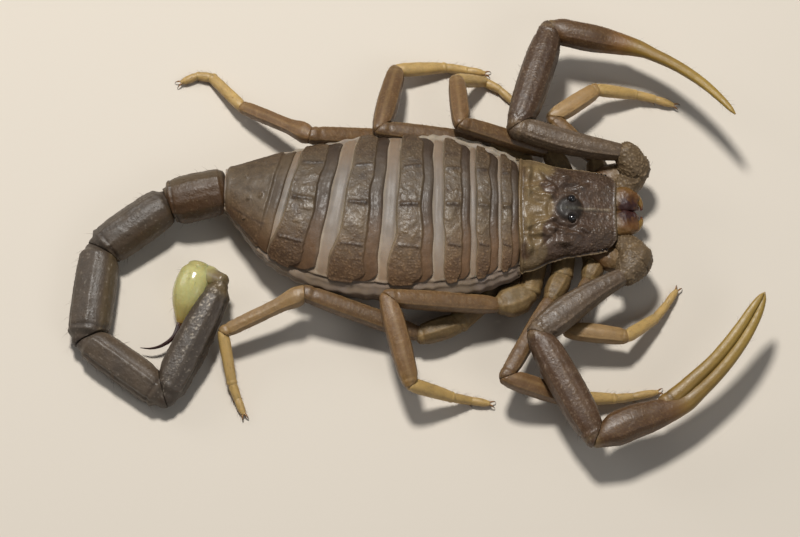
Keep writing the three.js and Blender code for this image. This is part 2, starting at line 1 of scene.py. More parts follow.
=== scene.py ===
# Desert scorpion, life size: the looks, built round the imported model.
# Working coordinates are millimetres with the same turn as the row frame; ORIGIN moves them onto it.
import bpy
import math
import numpy as np
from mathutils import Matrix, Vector


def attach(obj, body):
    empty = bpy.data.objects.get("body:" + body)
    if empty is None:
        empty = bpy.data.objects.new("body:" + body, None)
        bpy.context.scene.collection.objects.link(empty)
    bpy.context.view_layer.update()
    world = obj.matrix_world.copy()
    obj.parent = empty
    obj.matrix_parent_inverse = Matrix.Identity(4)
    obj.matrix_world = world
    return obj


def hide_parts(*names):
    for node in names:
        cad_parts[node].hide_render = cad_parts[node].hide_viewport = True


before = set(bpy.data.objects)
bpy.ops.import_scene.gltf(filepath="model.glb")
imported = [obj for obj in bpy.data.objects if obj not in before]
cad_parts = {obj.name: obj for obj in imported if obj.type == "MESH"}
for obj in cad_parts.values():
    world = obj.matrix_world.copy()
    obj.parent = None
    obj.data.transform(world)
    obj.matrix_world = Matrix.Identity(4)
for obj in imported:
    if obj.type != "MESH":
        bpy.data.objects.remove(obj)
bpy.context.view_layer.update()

ORIGIN = np.array([1.349, 3.255, 0.0])
D = math.pi / 180
UPV = np.array([0.0, 0.0, 1.0])


# ------------------------------------------------------------------ small maths
def lerp(a, b, t):
    return a + (b - a) * t


def smooth(x, a, b):
    t = np.clip((x - a) / (b - a), 0, 1)
    return t * t * (3 - 2 * t)


def bell(x, centre, width):
    return np.exp(-((x - centre) / width) ** 2)


def unit(v):
    v = np.asarray(v, float)
    return v / np.maximum(np.linalg.norm(v, axis=-1, keepdims=True), 1e-9)


def heading(yaw, climb):
    return np.array([math.cos(climb * D) * math.cos(yaw * D), math.cos(climb * D) * math.sin(yaw * D), math.sin(climb * D)])


def superp(v, p):
    return np.sign(v) * np.abs(v) ** (2 / p)


def rgb(r, g, b):
    """A named sRGB colour as linear light."""
    c = np.array([r, g, b], float) / 255
    return np.where(c <= 0.04045, c / 12.92, ((c + 0.055) / 1.055) ** 2.4)


def mix(a, b, t):
    t = np.asarray(t, float)[..., None]
    return a * (1 - t) + b * t


def rnd(i, j, k, seed):
    h = ((i * 73856093) ^ (j * 19349663) ^ (k * 83492791) ^ (seed * 1234567 + 89)) & 0xFFFFFFFF
    h = ((h ^ (h >> 16)) * 0x45D9F3B) & 0xFFFFFFFF
    h = ((h ^ (h >> 16)) * 0x45D9F3B) & 0xFFFFFFFF
    return ((h ^ (h >> 16)) & 0xFFFFFF) / 16777216.0


def noise(P, size, seed=0):
    """Smooth value noise, about -1 to 1."""
    q = np.asarray(P, float) / size + 1000
    i = np.floor(q).astype(np.int64)
    f = q - i
    f = f * f * (3 - 2 * f)
    out = 0
    for dx in (0, 1):
        for dy in (0, 1):
            for dz in (0, 1):
                w = (f[..., 0] if dx else 1 - f[..., 0]) * (f[..., 1] if dy else 1 - f[..., 1]) * (f[..., 2] if dz else 1 - f[..., 2])
                out = out + w * rnd(i[..., 0] + dx, i[..., 1] + dy, i[..., 2] + dz, seed)
    return out * 2 - 1


def fbm(P, size, seed=0, octaves=3):
    out, amp = 0, 1.0
    for o in range(octaves):
        out = out + amp * noise(P, size / 2 ** o, seed + o)
        amp *= 0.5
    return out / 1.75


def domes(P, size, seed, cover=0.8, small=0.36, large=0.6):
    """Scattered granules: 0 between them, rising to 1 on each."""
    P = np.asarray(P, float)
    cover = np.broadcast_to(cover, P.shape[:-1])
    q = P / size + 1000
    base = np.floor(q).astype(np.int64)
    best = np.zeros(P.shape[:-1])
    for dx in (-1, 0, 1):
        for dy in (-1, 0, 1):
            for dz in (-1, 0, 1):
                c = base + np.array([dx, dy, dz])
                j = [rnd(c[..., 0], c[..., 1], c[..., 2], seed + s) for s in range(4)]
                d2 = sum((q[..., a] - c[..., a] - 0.15 - 0.7 * j[a]) ** 2 for a in range(3))
                r = small + (large - small) * j[3]
                on = (j[3] * 7.3 + j[0] * 3.1) % 1.0 < cover
                best = np.maximum(best, np.where(on, np.clip(1 - d2 / r ** 2, 0, 1), 0))
    return best


def station(table, x):
    """Reads a table smoothly at x (cubic through the stations)."""
    T = np.asarray(table, float)
    xs, n = T[:, 0], len(T)
    x = np.clip(np.asarray(x, float), xs[0], xs[-1])
    i = np.clip(np.searchsorted(xs, x, side="right") - 1, 0, n - 2)
    S = np.empty_like(T)
    S[0] = (T[1] - T[0]) / (xs[1] - xs[0])
    S[-1] = (T[-1] - T[-2]) / (xs[-1] - xs[-2])
    S[1:-1] = (T[2:] - T[:-2]) / (xs[2:] - xs[:-2])[:, None]
    h = (xs[i + 1] - xs[i])[..., None]
    t = (x - xs[i])[..., None] / h
    out = (2 * t ** 3 - 3 * t * t + 1) * T[i] + (t ** 3 - 2 * t * t + t) * S[i] * h + (-2 * t ** 3 + 3 * t * t) * T[i + 1] + (t ** 3 - t * t) * S[i + 1] * h
    return out[..., 1:]


def curve(points, ts, n):
    """n points along a smooth line through the given ones."""
    return station([[t, *p] for t, p in zip(ts, points)], np.linspace(ts[0], ts[-1], n))


# ------------------------------------------------------------------ mesh making
PIECES = []


def grid_normals(P, closed):
    if closed:
        du = np.roll(P, -1, 1) - np.roll(P, 1, 1)
    else:
        du = np.gradient(P, axis=1)
    dv = np.gradient(P, axis=0)
    return unit(np.cross(du, dv))


def stitch(a, b):
    """Triangles between two runs of vertex numbers whose ends face each other."""
    out, i, j = [], 0, 0
    while i < len(a) - 1 or j < len(b) - 1:
        if j == len(b) - 1 or (i < len(a) - 1 and (i + 1) / (len(a) - 1) <= (j + 1) / (len(b) - 1)):
            out.append((a[i], a[i + 1], b[j]))
            i += 1
        else:
            out.append((a[i], b[j + 1], b[j]))
            j += 1
    return out


class Shape:
    """A mesh put together from grids, with a colour and a roughness at each vertex."""

    def __init__(self):
        self.v, self.f, self.t, self.tint, self.rough = [], [], [], [], []
        self.n = 0

    def points(self, P, tint, rough):
        P = np.asarray(P, float).reshape(-1, 3)
        k = len(P)
        self.v.append(P)
        self.tint.append(np.broadcast_to(np.asarray(tint, float).reshape(-1, 3) if np.ndim(tint) > 1 else np.asarray(tint, float), (k, 3)).copy())
        self.rough.append(np.broadcast_to(np.asarray(rough, float).reshape(-1) if np.ndim(rough) else float(rough), (k,)).copy())
        self.n += k
        return np.arange(self.n - k, self.n)

    def tube(self, P, tint, rough):
        """A closed skin over rings, with a point at each end. Its faces point out."""
        n, m = P.shape[:2]
        idx = self.points(P, tint, rough).reshape(n, m)
        nxt = np.roll(idx, -1, 1)
        q = np.stack([idx[:-1], nxt[:-1], nxt[1:], idx[1:]], -1).reshape(-1, 4)
        tint2 = self.tint[-1].reshape(n, m, 3)
        rough2 = self.rough[-1].reshape(n, m)
        a = self.points(P[0].mean(0), tint2[0].mean(0), float(rough2[0].mean()))[0]
        b = self.points(P[-1].mean(0), tint2[-1].mean(0), float(rough2[-1].mean()))[0]
        t = np.concatenate([np.stack([np.full(m, a), nxt[0], idx[0]], -1), np.stack([np.full(m, b), idx[-1], nxt[-1]], -1)])
        c = P.mean((0, 1)) if n < 3 else None
        mid = n // 2
        out = np.cross(P[mid, 1] - P[mid, 0], P[mid + 1, 0] - P[mid, 0])
        if np.dot(out, P[mid, 0] - P[mid].mean(0)) < 0:
            q, t = q[:, ::-1], t[:, ::-1]
        self.f.append(q)
        self.t.append(t)
        return idx

    def plate(self, P, inner, tint, rough, tint_in):
        """A closed plate: a fine outer sheet, a coarser inner one, joined round the rim."""
        n, m = P.shape[:2]
        p, r = inner.shape[:2]
        A = self.points(P, tint, rough).reshape(n, m)
        B = self.points(inner, tint_in, 0.6).reshape(p, r)
        q = np.stack([A[:-1, :-1], A[:-1, 1:], A[1:, 1:], A[1:, :-1]], -1).reshape(-1, 4)
        q2 = np.stack([B[:-1, :-1], B[1:, :-1], B[1:, 1:], B[:-1, 1:]], -1).reshape(-1, 4)
        t = []
        t += [(c, b, a) for a, b, c in stitch(list(A[0]), list(B[0]))]
        t += stitch(list(A[-1]), list(B[-1]))
        t += stitch(list(A[:, 0]), list(B[:, 0]))
        t += [(c, b, a) for a, b, c in stitch(list(A[:, -1]), list(B[:, -1]))]
        t = np.array(t)
        out = np.cross(P[n // 2, m // 2 + 1] - P[n // 2, m // 2], P[n // 2 + 1, m // 2] - P[n // 2, m // 2])
        if np.dot(out, P[n // 2, m // 2] - inner[p // 2, r // 2]) < 0:
            q, q2, t = q[:, ::-1], q2[:, ::-1], t[:, ::-1]
        self.f += [q, q2]
        self.t.append(t)
        return A


# the thin brown coat that darkens each kind of shell
VARNISH = {"back_plate": (0.68, 0.59, 0.47), "head_shield": (0.76, 0.66, 0.54), "tail_ring": (0.60, 0.54, 0.47), "arm": (0.68, 0.57, 0.47), "hand": (0.90, 0.81, 0.60), "finger": (0.90, 0.81, 0.60), "leg": (0.84, 0.73, 0.54)}


def build(name, shape, material, nodes, slot):
    V = np.concatenate(shape.v)
    V[:, 2] = np.maximum(V[:, 2], 0.0)
    V = (V - ORIGIN) * 0.001
    me = bpy.data.meshes.new(name)
    F = np.concatenate(shape.f) if shape.f else np.zeros((0, 4), int)
    T = np.concatenate(shape.t) if shape.t else np.zeros((0, 3), int)
    me.vertices.add(len(V))
    me.vertices.foreach_set("co", V.astype(np.float32).ravel())
    loops = np.concatenate([F.ravel(), T.ravel()]).astype(np.int32)
    me.loops.add(len(loops))
    me.loops.foreach_set("vertex_index", loops)
    starts = np.concatenate([np.arange(len(F)) * 4, len(F) * 4 + np.arange(len(T)) * 3]).astype(np.int32)
    me.polygons.add(len(starts))
    me.polygons.foreach_set("loop_start", starts)
    me.update(calc_edges=True)
    me.validate()
    me.polygons.foreach_set("use_smooth", np.ones(len(me.polygons), bool))
    tint = me.attributes.new("tint", "FLOAT_COLOR", "POINT")
    col = np.ones((len(V), 4), np.float32)
    col[:, :3] = np.clip(np.concatenate(shape.tint) * np.array(VARNISH.get(slot, (1, 1, 1))), 0.001, 1)
    tint.data.foreach_set("color", col.ravel())
    ro = me.attributes.new("rough", "FLOAT", "POINT")
    ro.data.foreach_set("value", np.clip(np.concatenate(shape.rough), 0.05, 1).astype(np.float32))
    ob = bpy.data.objects.new(name, me)
    bpy.context.scene.collection.objects.link(ob)
    me.materials.append(material)
    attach(ob, "root")
    if nodes:
        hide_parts(*nodes)
    PIECES.append(ob)
    return ob


def limb_rings(C, a, b, up, m, power=2.3, cap0=0.4, cap1=0.4, caps=7):
    """Rings round a centre line, closed by rounded ends. Returns points, place along (0..1 between the ends) and angle."""
    C = np.asarray(C, float)
    T = unit(np.gradient(C, axis=0))
    L = np.linalg.norm(np.diff(C, axis=0), axis=1).sum()
    q = np.linspace(88, 0, caps, endpoint=False) * D
    rows_c = [C[0] - T[0] * cap0 * math.sin(x) for x in q] + list(C) + [C[-1] + T[-1] * cap1 * math.sin(x) for x in q[::-1]]
    k0, k1 = [math.cos(x) ** 0.9 for x in q], [math.cos(x) ** 0.9 for x in q[::-1]]
    A = np.concatenate([[a[0] * k for k in k0], a, [a[-1] * k for k in k1]])
    B = np.concatenate([[b[0] * k for k in k0], b, [b[-1] * k for k in k1]])
    TT = np.concatenate([np.repeat(T[:1], caps, 0), T, np.repeat(T[-1:], caps, 0)])
    t = np.concatenate([[-cap0 * math.sin(x) / L for x in q], np.linspace(0, 1, len(C)), [1 + cap1 * math.sin(x) / L for x in q[::-1]]])
    CC = np.array(rows_c)
    up = np.broadcast_to(up, CC.shape)
    S = unit(np.cross(up, TT))
    U = np.cross(TT, S)
    phi = np.arange(m) / m * 2 * math.pi
    c, s = superp(np.cos(phi), power), superp(np.sin(phi), power)
    P = CC[:, None] + S[:, None] * (A[:, None] * c)[..., None] + U[:, None] * (B[:, None] * s)[..., None]
    return P, np.broadcast_to(t[:, None], P.shape[:2]), np.broadcast_to(phi[None] / D, P.shape[:2]), L


def outward(P):
    N = grid_normals(P, True)
    if ((P - P.mean(1, keepdims=True)) * N).sum() < 0:
        N = -N
    return N


def turn_to(phi, centre):
    """Degrees from an angle round the limb, wrapped to -180..180."""
    return (phi - centre + 180) % 360 - 180


def keel(t, phi, L, centre, amp, width=7.0, bead=0.16, t0=0.06, t1=0.94, seed=0.0):
    """A raised line of granules along a limb at one angle."""
    window = smooth(t, t0, t0 + 0.07) * (1 - smooth(t, t1 - 0.05, t1))
    beads = 0.93 + 0.07 * np.cos(2 * math.pi * (t * L / bead + 0.4 * np.sin(t * L * 2.3 + 3 * seed)) + seed)
    return amp * np.exp(-(turn_to(phi, centre) / width) ** 2) * window * beads


# ------------------------------------------------------------------ finishes
def chitin(name, grain=0.11, grain_bump=0.35, pit=0.0, blotch=0.10, coat=0.12, coat_rough=0.25, sss=0.0, sss_reach=(1.0, 0.6, 0.3), sheen=0.0, spec=0.5):
    """Shell finish: the colour and gloss laid down on the mesh, mottled at two sizes, with fine granules in the bump."""
    m = bpy.data.materials.new(name)
    m.use_nodes = True
    nt = m.node_tree
    nt.nodes.clear()
    new, link = nt.nodes.new, nt.links.new
    out, bsdf = new("ShaderNodeOutputMaterial"), new("ShaderNodeBsdfPrincipled")
    link(bsdf.outputs[0], out.inputs[0])
    co = new("ShaderNodeTexCoord").outputs["Object"]
    tint, rough = new("ShaderNodeAttribute"), new("ShaderNodeAttribute")
    tint.attribute_name, rough.attribute_name = "tint", "rough"

    def tex(kind, size_mm, **props):
        n = new(kind)
        link(co, n.inputs["Vector"])
        n.inputs["Scale"].default_value = 1000.0 / size_mm
        for k, v in props.items():
            n.inputs[k].default_value = v
        return n

    def ramp(src, a, b, lo=0.0, hi=1.0):
        n = new("ShaderNodeMapRange")
        link(src, n.inputs["Value"])
        n.inputs["From Min"].default_value, n.inputs["From Max"].default_value = a, b
        n.inputs["To Min"].default_value, n.inputs["To Max"].default_value = lo, hi
        return n.outputs[0]

    def math_(op, a, b):
        n = new("ShaderNodeMath")
        n.operation = op
        for i, v in enumerate((a, b)):
            if isinstance(v, (int, float)):
                n.inputs[i].default_value = v
            else:
                link(v, n.inputs[i])
        return n.outputs[0]

    broad = tex("ShaderNodeTexNoise", 0.9, Detail=3.0, Roughness=0.6)
    fine = tex("ShaderNodeTexNoise", grain, Detail=3.0, Roughness=0.65)
    speck = tex("ShaderNodeTexVoronoi", grain * 1.5)
    shade = math_("MULTIPLY", ramp(broad.outputs["Fac"], 0.3, 0.7, 1 - blotch, 1 + blotch), ramp(fine.outputs["Fac"], 0.3, 0.7, 1 - blotch * 0.9, 1 + blotch * 0.9))
    mixn = new("ShaderNodeVectorMath")
    mixn.operation = "SCALE"
    link(tint.outputs["Color"], mixn.inputs[0])
    link(shade, mixn.inputs["Scale"])
    link(mixn.outputs[0], bsdf.inputs["Base Color"])
    link(math_("MULTIPLY", rough.outputs["Fac"], ramp(fine.outputs["Fac"], 0.25, 0.75, 0.8, 1.2)), bsdf.inputs["Roughness"])
    height = math_("ADD", math_("MULTIPLY", fine.outputs["Fac"], 0.7), math_("MULTIPLY", ramp(speck.outputs["Distance"], 0.0, 0.5, 1.0, 0.0), 0.45 + pit))
    bump = new("ShaderNodeBump")
    bump.inputs["Strength"].default_value = grain_bump
    bump.inputs["Distance"].default_value = 0.00004
    link(height, bump.inputs["Height"])
    link(bump.outputs[0], bsdf.inputs["Normal"])
    bsdf.inputs["Coat Weight"].default_value = coat
    bsdf.inputs["Coat Roughness"].default_value = coat_rough
    bsdf.inputs["Specular IOR Level"].default_value = spec
    bsdf.inputs["IOR"].default_value = 1.52
    if sss:
        bsdf.inputs["Subsurface Weight"].default_value = sss
        bsdf.inputs["Subsurface Radius"].default_value = sss_reach
        bsdf.inputs["Subsurface Scale"].default_value = 0.0004
    return m


M_BACK = chitin("back_plates", grain=0.10, grain_bump=0.45, blotch=0.15, coat=0.06, coat_rough=0.22, spec=0.42)
M_SKIN = chitin("soft_skin", grain=0.07, grain_bump=0.25, blotch=0.07, coat=0.08, coat_rough=0.35, sss=0.12)
M_HEAD = chitin("head_shield", grain=0.09, grain_bump=0.5, blotch=0.16, coat=0.10, coat_rough=0.2, spec=0.42)
M_TAIL = chitin("tail_rings", grain=0.09, grain_bump=0.5, blotch=0.13, coat=0.04, coat_rough=0.35, spec=0.45)
M_ARM = chitin("arm_shell", grain=0.09, grain_bump=0.5, blotch=0.12, coat=0.08, coat_rough=0.28, spec=0.48)
M_HAND = chitin("hand_shell", grain=0.08, grain_bump=0.35, blotch=0.10, coat=0.08, coat_rough=0.28, sss=0.08)
M_LEG = chitin("leg_shell", grain=0.09, grain_bump=0.4, blotch=0.11, coat=0.05, coat_rough=0.32, sss=0.1)
M_JAW = chitin("jaw_shell", grain=0.12, grain_bump=0.20, blotch=0.10, coat=0.03, coat_rough=0.2, sss=0.12)
M_VESICLE = chitin("sting_bulb", grain=0.16, grain_bump=0.14, blotch=0.07, coat=0.25, coat_rough=0.22, sss=0.45)
M_STING = chitin("sting_point", grain=0.2, grain_bump=0.05, blotch=0.05, coat=0.5, coat_rough=0.1)
M_EYE = chitin("eye_lens", grain=0.3, grain_bump=0.0, blotch=0.02, coat=1.0, coat_rough=0.02)
M_COMB = chitin("comb_shell", grain=0.08, grain_bump=0.2, blotch=0.06, coat=0.1, sss=0.2)
M_HAIR = chitin("hairs", grain=0.3, grain_bump=0.0, blotch=0.1, coat=0.0)

# named colours
OLIVE, GREYBROWN, BROWN, DEEP = rgb(126, 110, 88), rgb(122, 110, 95), rgb(108, 84, 60), rgb(80, 60, 44)
PALE, PALE_WARM, PLEURA = rgb(172, 162, 145), rgb(156, 136, 110), rgb(142, 128, 108)
HEAD_DARK, HEAD_DEEP, HEAD_OLIVE = rgb(88, 72, 60), rgb(62, 48, 40), rgb(122, 107, 82)
TAIL_GREY, TAIL_BROWN, TAIL_OLIVE, DUST = rgb(98, 87, 76), rgb(92, 72, 52), rgb(118, 104, 76), rgb(238, 232, 220)
ARM_GREY, ARM_BROWN = rgb(104, 91, 77), rgb(92, 72, 56)
LEG_BROWN, LEG_MID, LEG_OLIVE, LEG_YELLOW = rgb(101, 78, 54), rgb(130, 104, 74), rgb(148, 124, 80), rgb(166, 138, 84)
FINGER_OLIVE, FINGER_YELLOW = rgb(134, 109, 49), rgb(160, 137, 69)
JAW_AMBER, JAW_DARK = rgb(106, 66, 20), rgb(50, 11, 10)
BULB, BULB_WARM = rgb(186, 180, 122), rgb(176, 156, 90)
BAND, BAND_WARM, BAND_EDGE_HIGHLIGHT = rgb(120, 110, 100), rgb(126, 105, 84), rgb(166, 152, 132)
FOOT_A, FOOT_B = rgb(168, 138, 84), rgb(184, 152, 92)
BLACK = rgb(26, 18, 16)


# ------------------------------------------------------------------ trunk
BELLY_POWER, BACK_POWER = 2.4, 2.15
TRUNK = [
    [-14.3, 7.08, 1.62, 4.70, 1.50, 0.02], [-13.0, 6.62, 2.50, 5.15, 1.25, 0.14], [-12.0, 6.30, 3.15, 5.50, 1.05, 0.20],
    [-10.7, 5.88, 4.10, 5.90, 0.90, 0.25], [-9.2, 5.45, 4.95, 6.25, 0.80, 0.26], [-7.3, 5.05, 5.75, 6.50, 0.70, 0.24],
    [-4.1, 4.68, 6.70, 6.80, 0.60, 0.16], [0.0, 4.45, 7.05, 6.90, 0.60, 0.05], [3.2, 4.45, 6.95, 6.85, 0.70, 0.00],
    [6.0, 4.45, 6.50, 6.60, 0.90, 0.00], [8.6, 4.40, 5.45, 6.30, 1.20, 0.00], [9.6, 4.38, 5.00, 6.15, 1.30, 0.00],
]
HEAD_SKIN = [[10.8, 4.45, 4.42, 5.75, 1.25, 0.0], [11.9, 4.54, 3.98, 5.65, 1.15, 0.0], [13.3, 4.62, 3.60, 5.45, 1.10, 0.0], [15.1, 4.70, 3.30, 5.10, 1.10, 0.0], [16.6, 4.76, 3.00, 4.75, 1.20, 0.0], [17.1, 4.80, 2.70, 4.55, 1.6, 0.0]]
SHIELD = [
    [9.46, 4.38, 4.85, 5.90, 4.15], [10.8, 4.45, 4.60, 5.88, 4.15], [11.9, 4.54, 4.15, 5.78, 4.15], [13.3, 4.62, 3.78, 5.60, 4.10],
    [15.1, 4.70, 3.50, 5.25, 4.00], [16.6, 4.76, 3.20, 4.90, 3.92], [17.36, 4.80, 2.80, 4.68, 3.86],
]
# each back plate: rear rim, front of its granular field, front rim of its smooth leading band
TERGITES = [(8.08, 8.93, 9.50), (6.08, 7.19, 7.90), (3.52, 4.93, 5.66), (-0.22, 1.74, 2.66), (-4.42, -2.36, -1.34), (-8.98, -6.80, -5.66), (-14.0, -10.4, -9.46)]


def trunk_point(x, deg, depth=0.0, table=TRUNK):
    x, deg, depth = np.broadcast_arrays(np.asarray(x, float), np.asarray(deg, float), np.asarray(depth, float))
    s5 = station(table, x)
    yc, w, top, belly, slant = (s5[..., k] for k in range(5))
    zc = lerp(belly, top, 0.48)
    c, s = np.cos(deg * D), np.sin(deg * D)
    p = np.where(s >= 0, BACK_POWER, BELLY_POWER)
    y = superp(c, p) * w
    z = superp(s, p) * np.where(s >= 0, top - zc, zc - belly)
    r = np.hypot(y, z)
    k = (r - depth) / r
    return np.stack([x + slant * y * k, yc + y * k, zc + z * k], -1)


def plate_depth(x):
    """How far the skin lies under the plates at x: deep beneath them, shallow in the folds between."""
    d = np.full(np.shape(x), 0.46)
    for i in range(6):
        rear, front = TERGITES[i + 1][2], TERGITES[i][0]
        mid, half = (rear + front) / 2, (front - rear) / 2
        d = d - 0.30 * np.exp(-(np.abs(x - mid) / (half + 0.10)) ** 4)
    return d


def side_gap(x, right):
    """How many degrees the back plates stop short of the flank line, where the soft side swells out past them."""
    if right:
        return np.interp(x, [-14, -9, -5, 0, 5, 9, 9.6], [0, 4, 8, 11, 12, 10, 7])
    return np.interp(x, [-14, 0, 2.5, 5, 7.2, 9, 9.6], [0, 0.5, 6, 12, 14, 10, 6])


def skin_piece():
    xs = np.concatenate([np.linspace(-14.15, -9.6, 60, endpoint=False), np.linspace(-9.6, 9.6, 300, endpoint=False), np.linspace(9.6, 17.0, 70)])
    deg = np.concatenate([np.linspace(-38, 218, 230, endpoint=False), np.linspace(218, 322, 60, endpoint=False)])
    X, A = np.meshgrid(xs, deg, indexing="ij")
    table = TRUNK[:-1] + HEAD_SKIN
    gl, gr = side_gap(X, False), side_gap(X, True)
    back = smooth(A, 15 + gl, 21 + gl) * (1 - smooth(A, 159 - gr, 165 - gr))           # under the back plates
    rim_at = 75 - np.where(A < 90, gl, gr)
    flank = (1 - back) * (1 - smooth(np.abs(turn_to(A, 90)), 118, 128))
    belly = smooth(np.abs(turn_to(A, 90)), 122, 130)
    P0 = trunk_point(X, A, 0.0, table)
    # soft flank: long folds that run with the body, deeper crease under the plate rims, bulges between the plates
    folds = 0.07 * np.sin(np.abs(turn_to(A, 90)) * 0.42 + 0.9 * noise(P0, 2.2, 5)) + 0.05 * fbm(P0, 0.9, 7)
    crease = 0.26 * bell(np.abs(turn_to(A, 90)), rim_at, 2.2)
    pleat = 0.05 * np.sin(X * 5.2 + 2.0 * noise(P0, 1.6, 9)) * flank
    depth = np.where(X < 9.6, plate_depth(X), 0.5) * back + flank * (0.10 + crease - folds - pleat - 0.10 * bell(np.abs(turn_to(A, 90)), rim_at + 13, 9)) + belly * 0.30
    bandy = back * np.clip((0.40 - plate_depth(X)) / 0.22, 0, 1)
    depth = depth - bandy * (0.007 * np.sin(X * 13 + 2.5 * noise(P0, 1.8, 3)) + 0.016 * fbm(P0 * np.array([1, 0.4, 1]), 0.5, 11))
    depth = depth + np.where(X > 9.6, 0.25 * (1 - back), 0)
    P = trunk_point(X, A, depth, table)
    # keep clear below the head shield
    sh = station(SHIELD, P[..., 0])
    f = np.clip(np.abs((P[..., 1] - sh[..., 0]) / sh[..., 1]), 0, 1)
    roof = sh[..., 3] + (sh[..., 2] - sh[..., 3]) * (1 - f ** 2.7) ** (1 / 2.1) - 0.34
    P[..., 2] = np.where((P[..., 0] > 9.4) & (P[..., 2] > 3.0), np.minimum(P[..., 2], roof), P[..., 2])
    squeeze = smooth(P[..., 0], 9.8, 10.6) * 0.06
    P[..., 1] = P[..., 1] * (1 - squeeze) + 4.6 * squeeze
    low = np.abs(turn_to(A, 90)) / 100
    tint = mix(BAND_WARM, BAND, np.clip(bell(A, 92, 40) + 0.25 * noise(P, 1.5, 21), 0, 1))
    # painted highlight: pale lines along the edges of the soft bands, where they meet the plate rims
    tint = mix(tint, BAND_EDGE_HIGHLIGHT, 0.50 * np.clip(bandy * (1 - bandy) * 4, 0, 1) ** 2 * (X < 9.3))
    tint = mix(tint, rgb(92, 78, 64), 0.35 * back * (X < 9.3) * np.clip(fbm(P0 * np.array([1, 0.35, 1]), 0.7, 24) + 0.1, 0, 1))
    tint = mix(tint, mix(rgb(150, 138, 120), rgb(128, 110, 90), smooth(A, 60, 120)), np.clip(flank, 0, 1))
    tint = mix(tint, rgb(138, 124, 122), 0.5 * np.clip(flank, 0, 1) * np.clip(fbm(P0, 1.3, 23) + 0.3, 0, 1))
    tint = mix(tint, rgb(112, 92, 72), np.clip(smooth(low, 1.0, 1.22), 0, 1) * (1 - belly * 0.6))
    tint = mix(tint, rgb(150, 132, 100), belly)
    # painted shade in the crease under the plate rims
    tint = mix(tint, DEEP, 0.5 * bell(np.abs(turn_to(A, 90)), rim_at + 0.5, 1.4))
    # random tone, and painted light: where the skin shows between the plates it is made slightly darker on the left and
    # much brighter towards the right flank
    tint = tint * (1 + 0.12 * fbm(P, 0.5, 31))[..., None] * (1 - back * (X < 9.3) * lerp(0.04, -0.42, smooth(A, 84, 140)))[..., None]
    tint = mix(tint, PALE_WARM * 0.9, smooth(P[..., 0], 9.3, 9.9))
    rough = 0.62 + 0.12 * noise(P, 0.8, 33) - 0.02 * back * bell(A, 88, 22)
    s = Shape()
    s.tube(P, tint, rough)
    return build("soft_skin", s, M_SKIN, ["mesosoma_body", "prosoma_underside"], "membrane")


def rim(dist, radius=0.17):
    """Drop of a rolled edge: 0 inside, falling like a quarter circle towards the rim."""
    k = np.clip((radius - dist) / radius, 0, 1)
    return radius * (1 - np.sqrt(np.clip(1 - k * k, 0, 1)))


def edged(a, b, n, fringe=0.16, extra=5):
    """Even steps from a to b, with closer ones next to both ends."""
    k = fringe / abs(b - a)
    inner = np.linspace(k, 1 - k, n)
    e = k * (1 - np.cos(np.linspace(0, math.pi / 2, extra, endpoint=False)))
    return lerp(a, b, np.concatenate([e, inner, 1 - e[::-1]]))


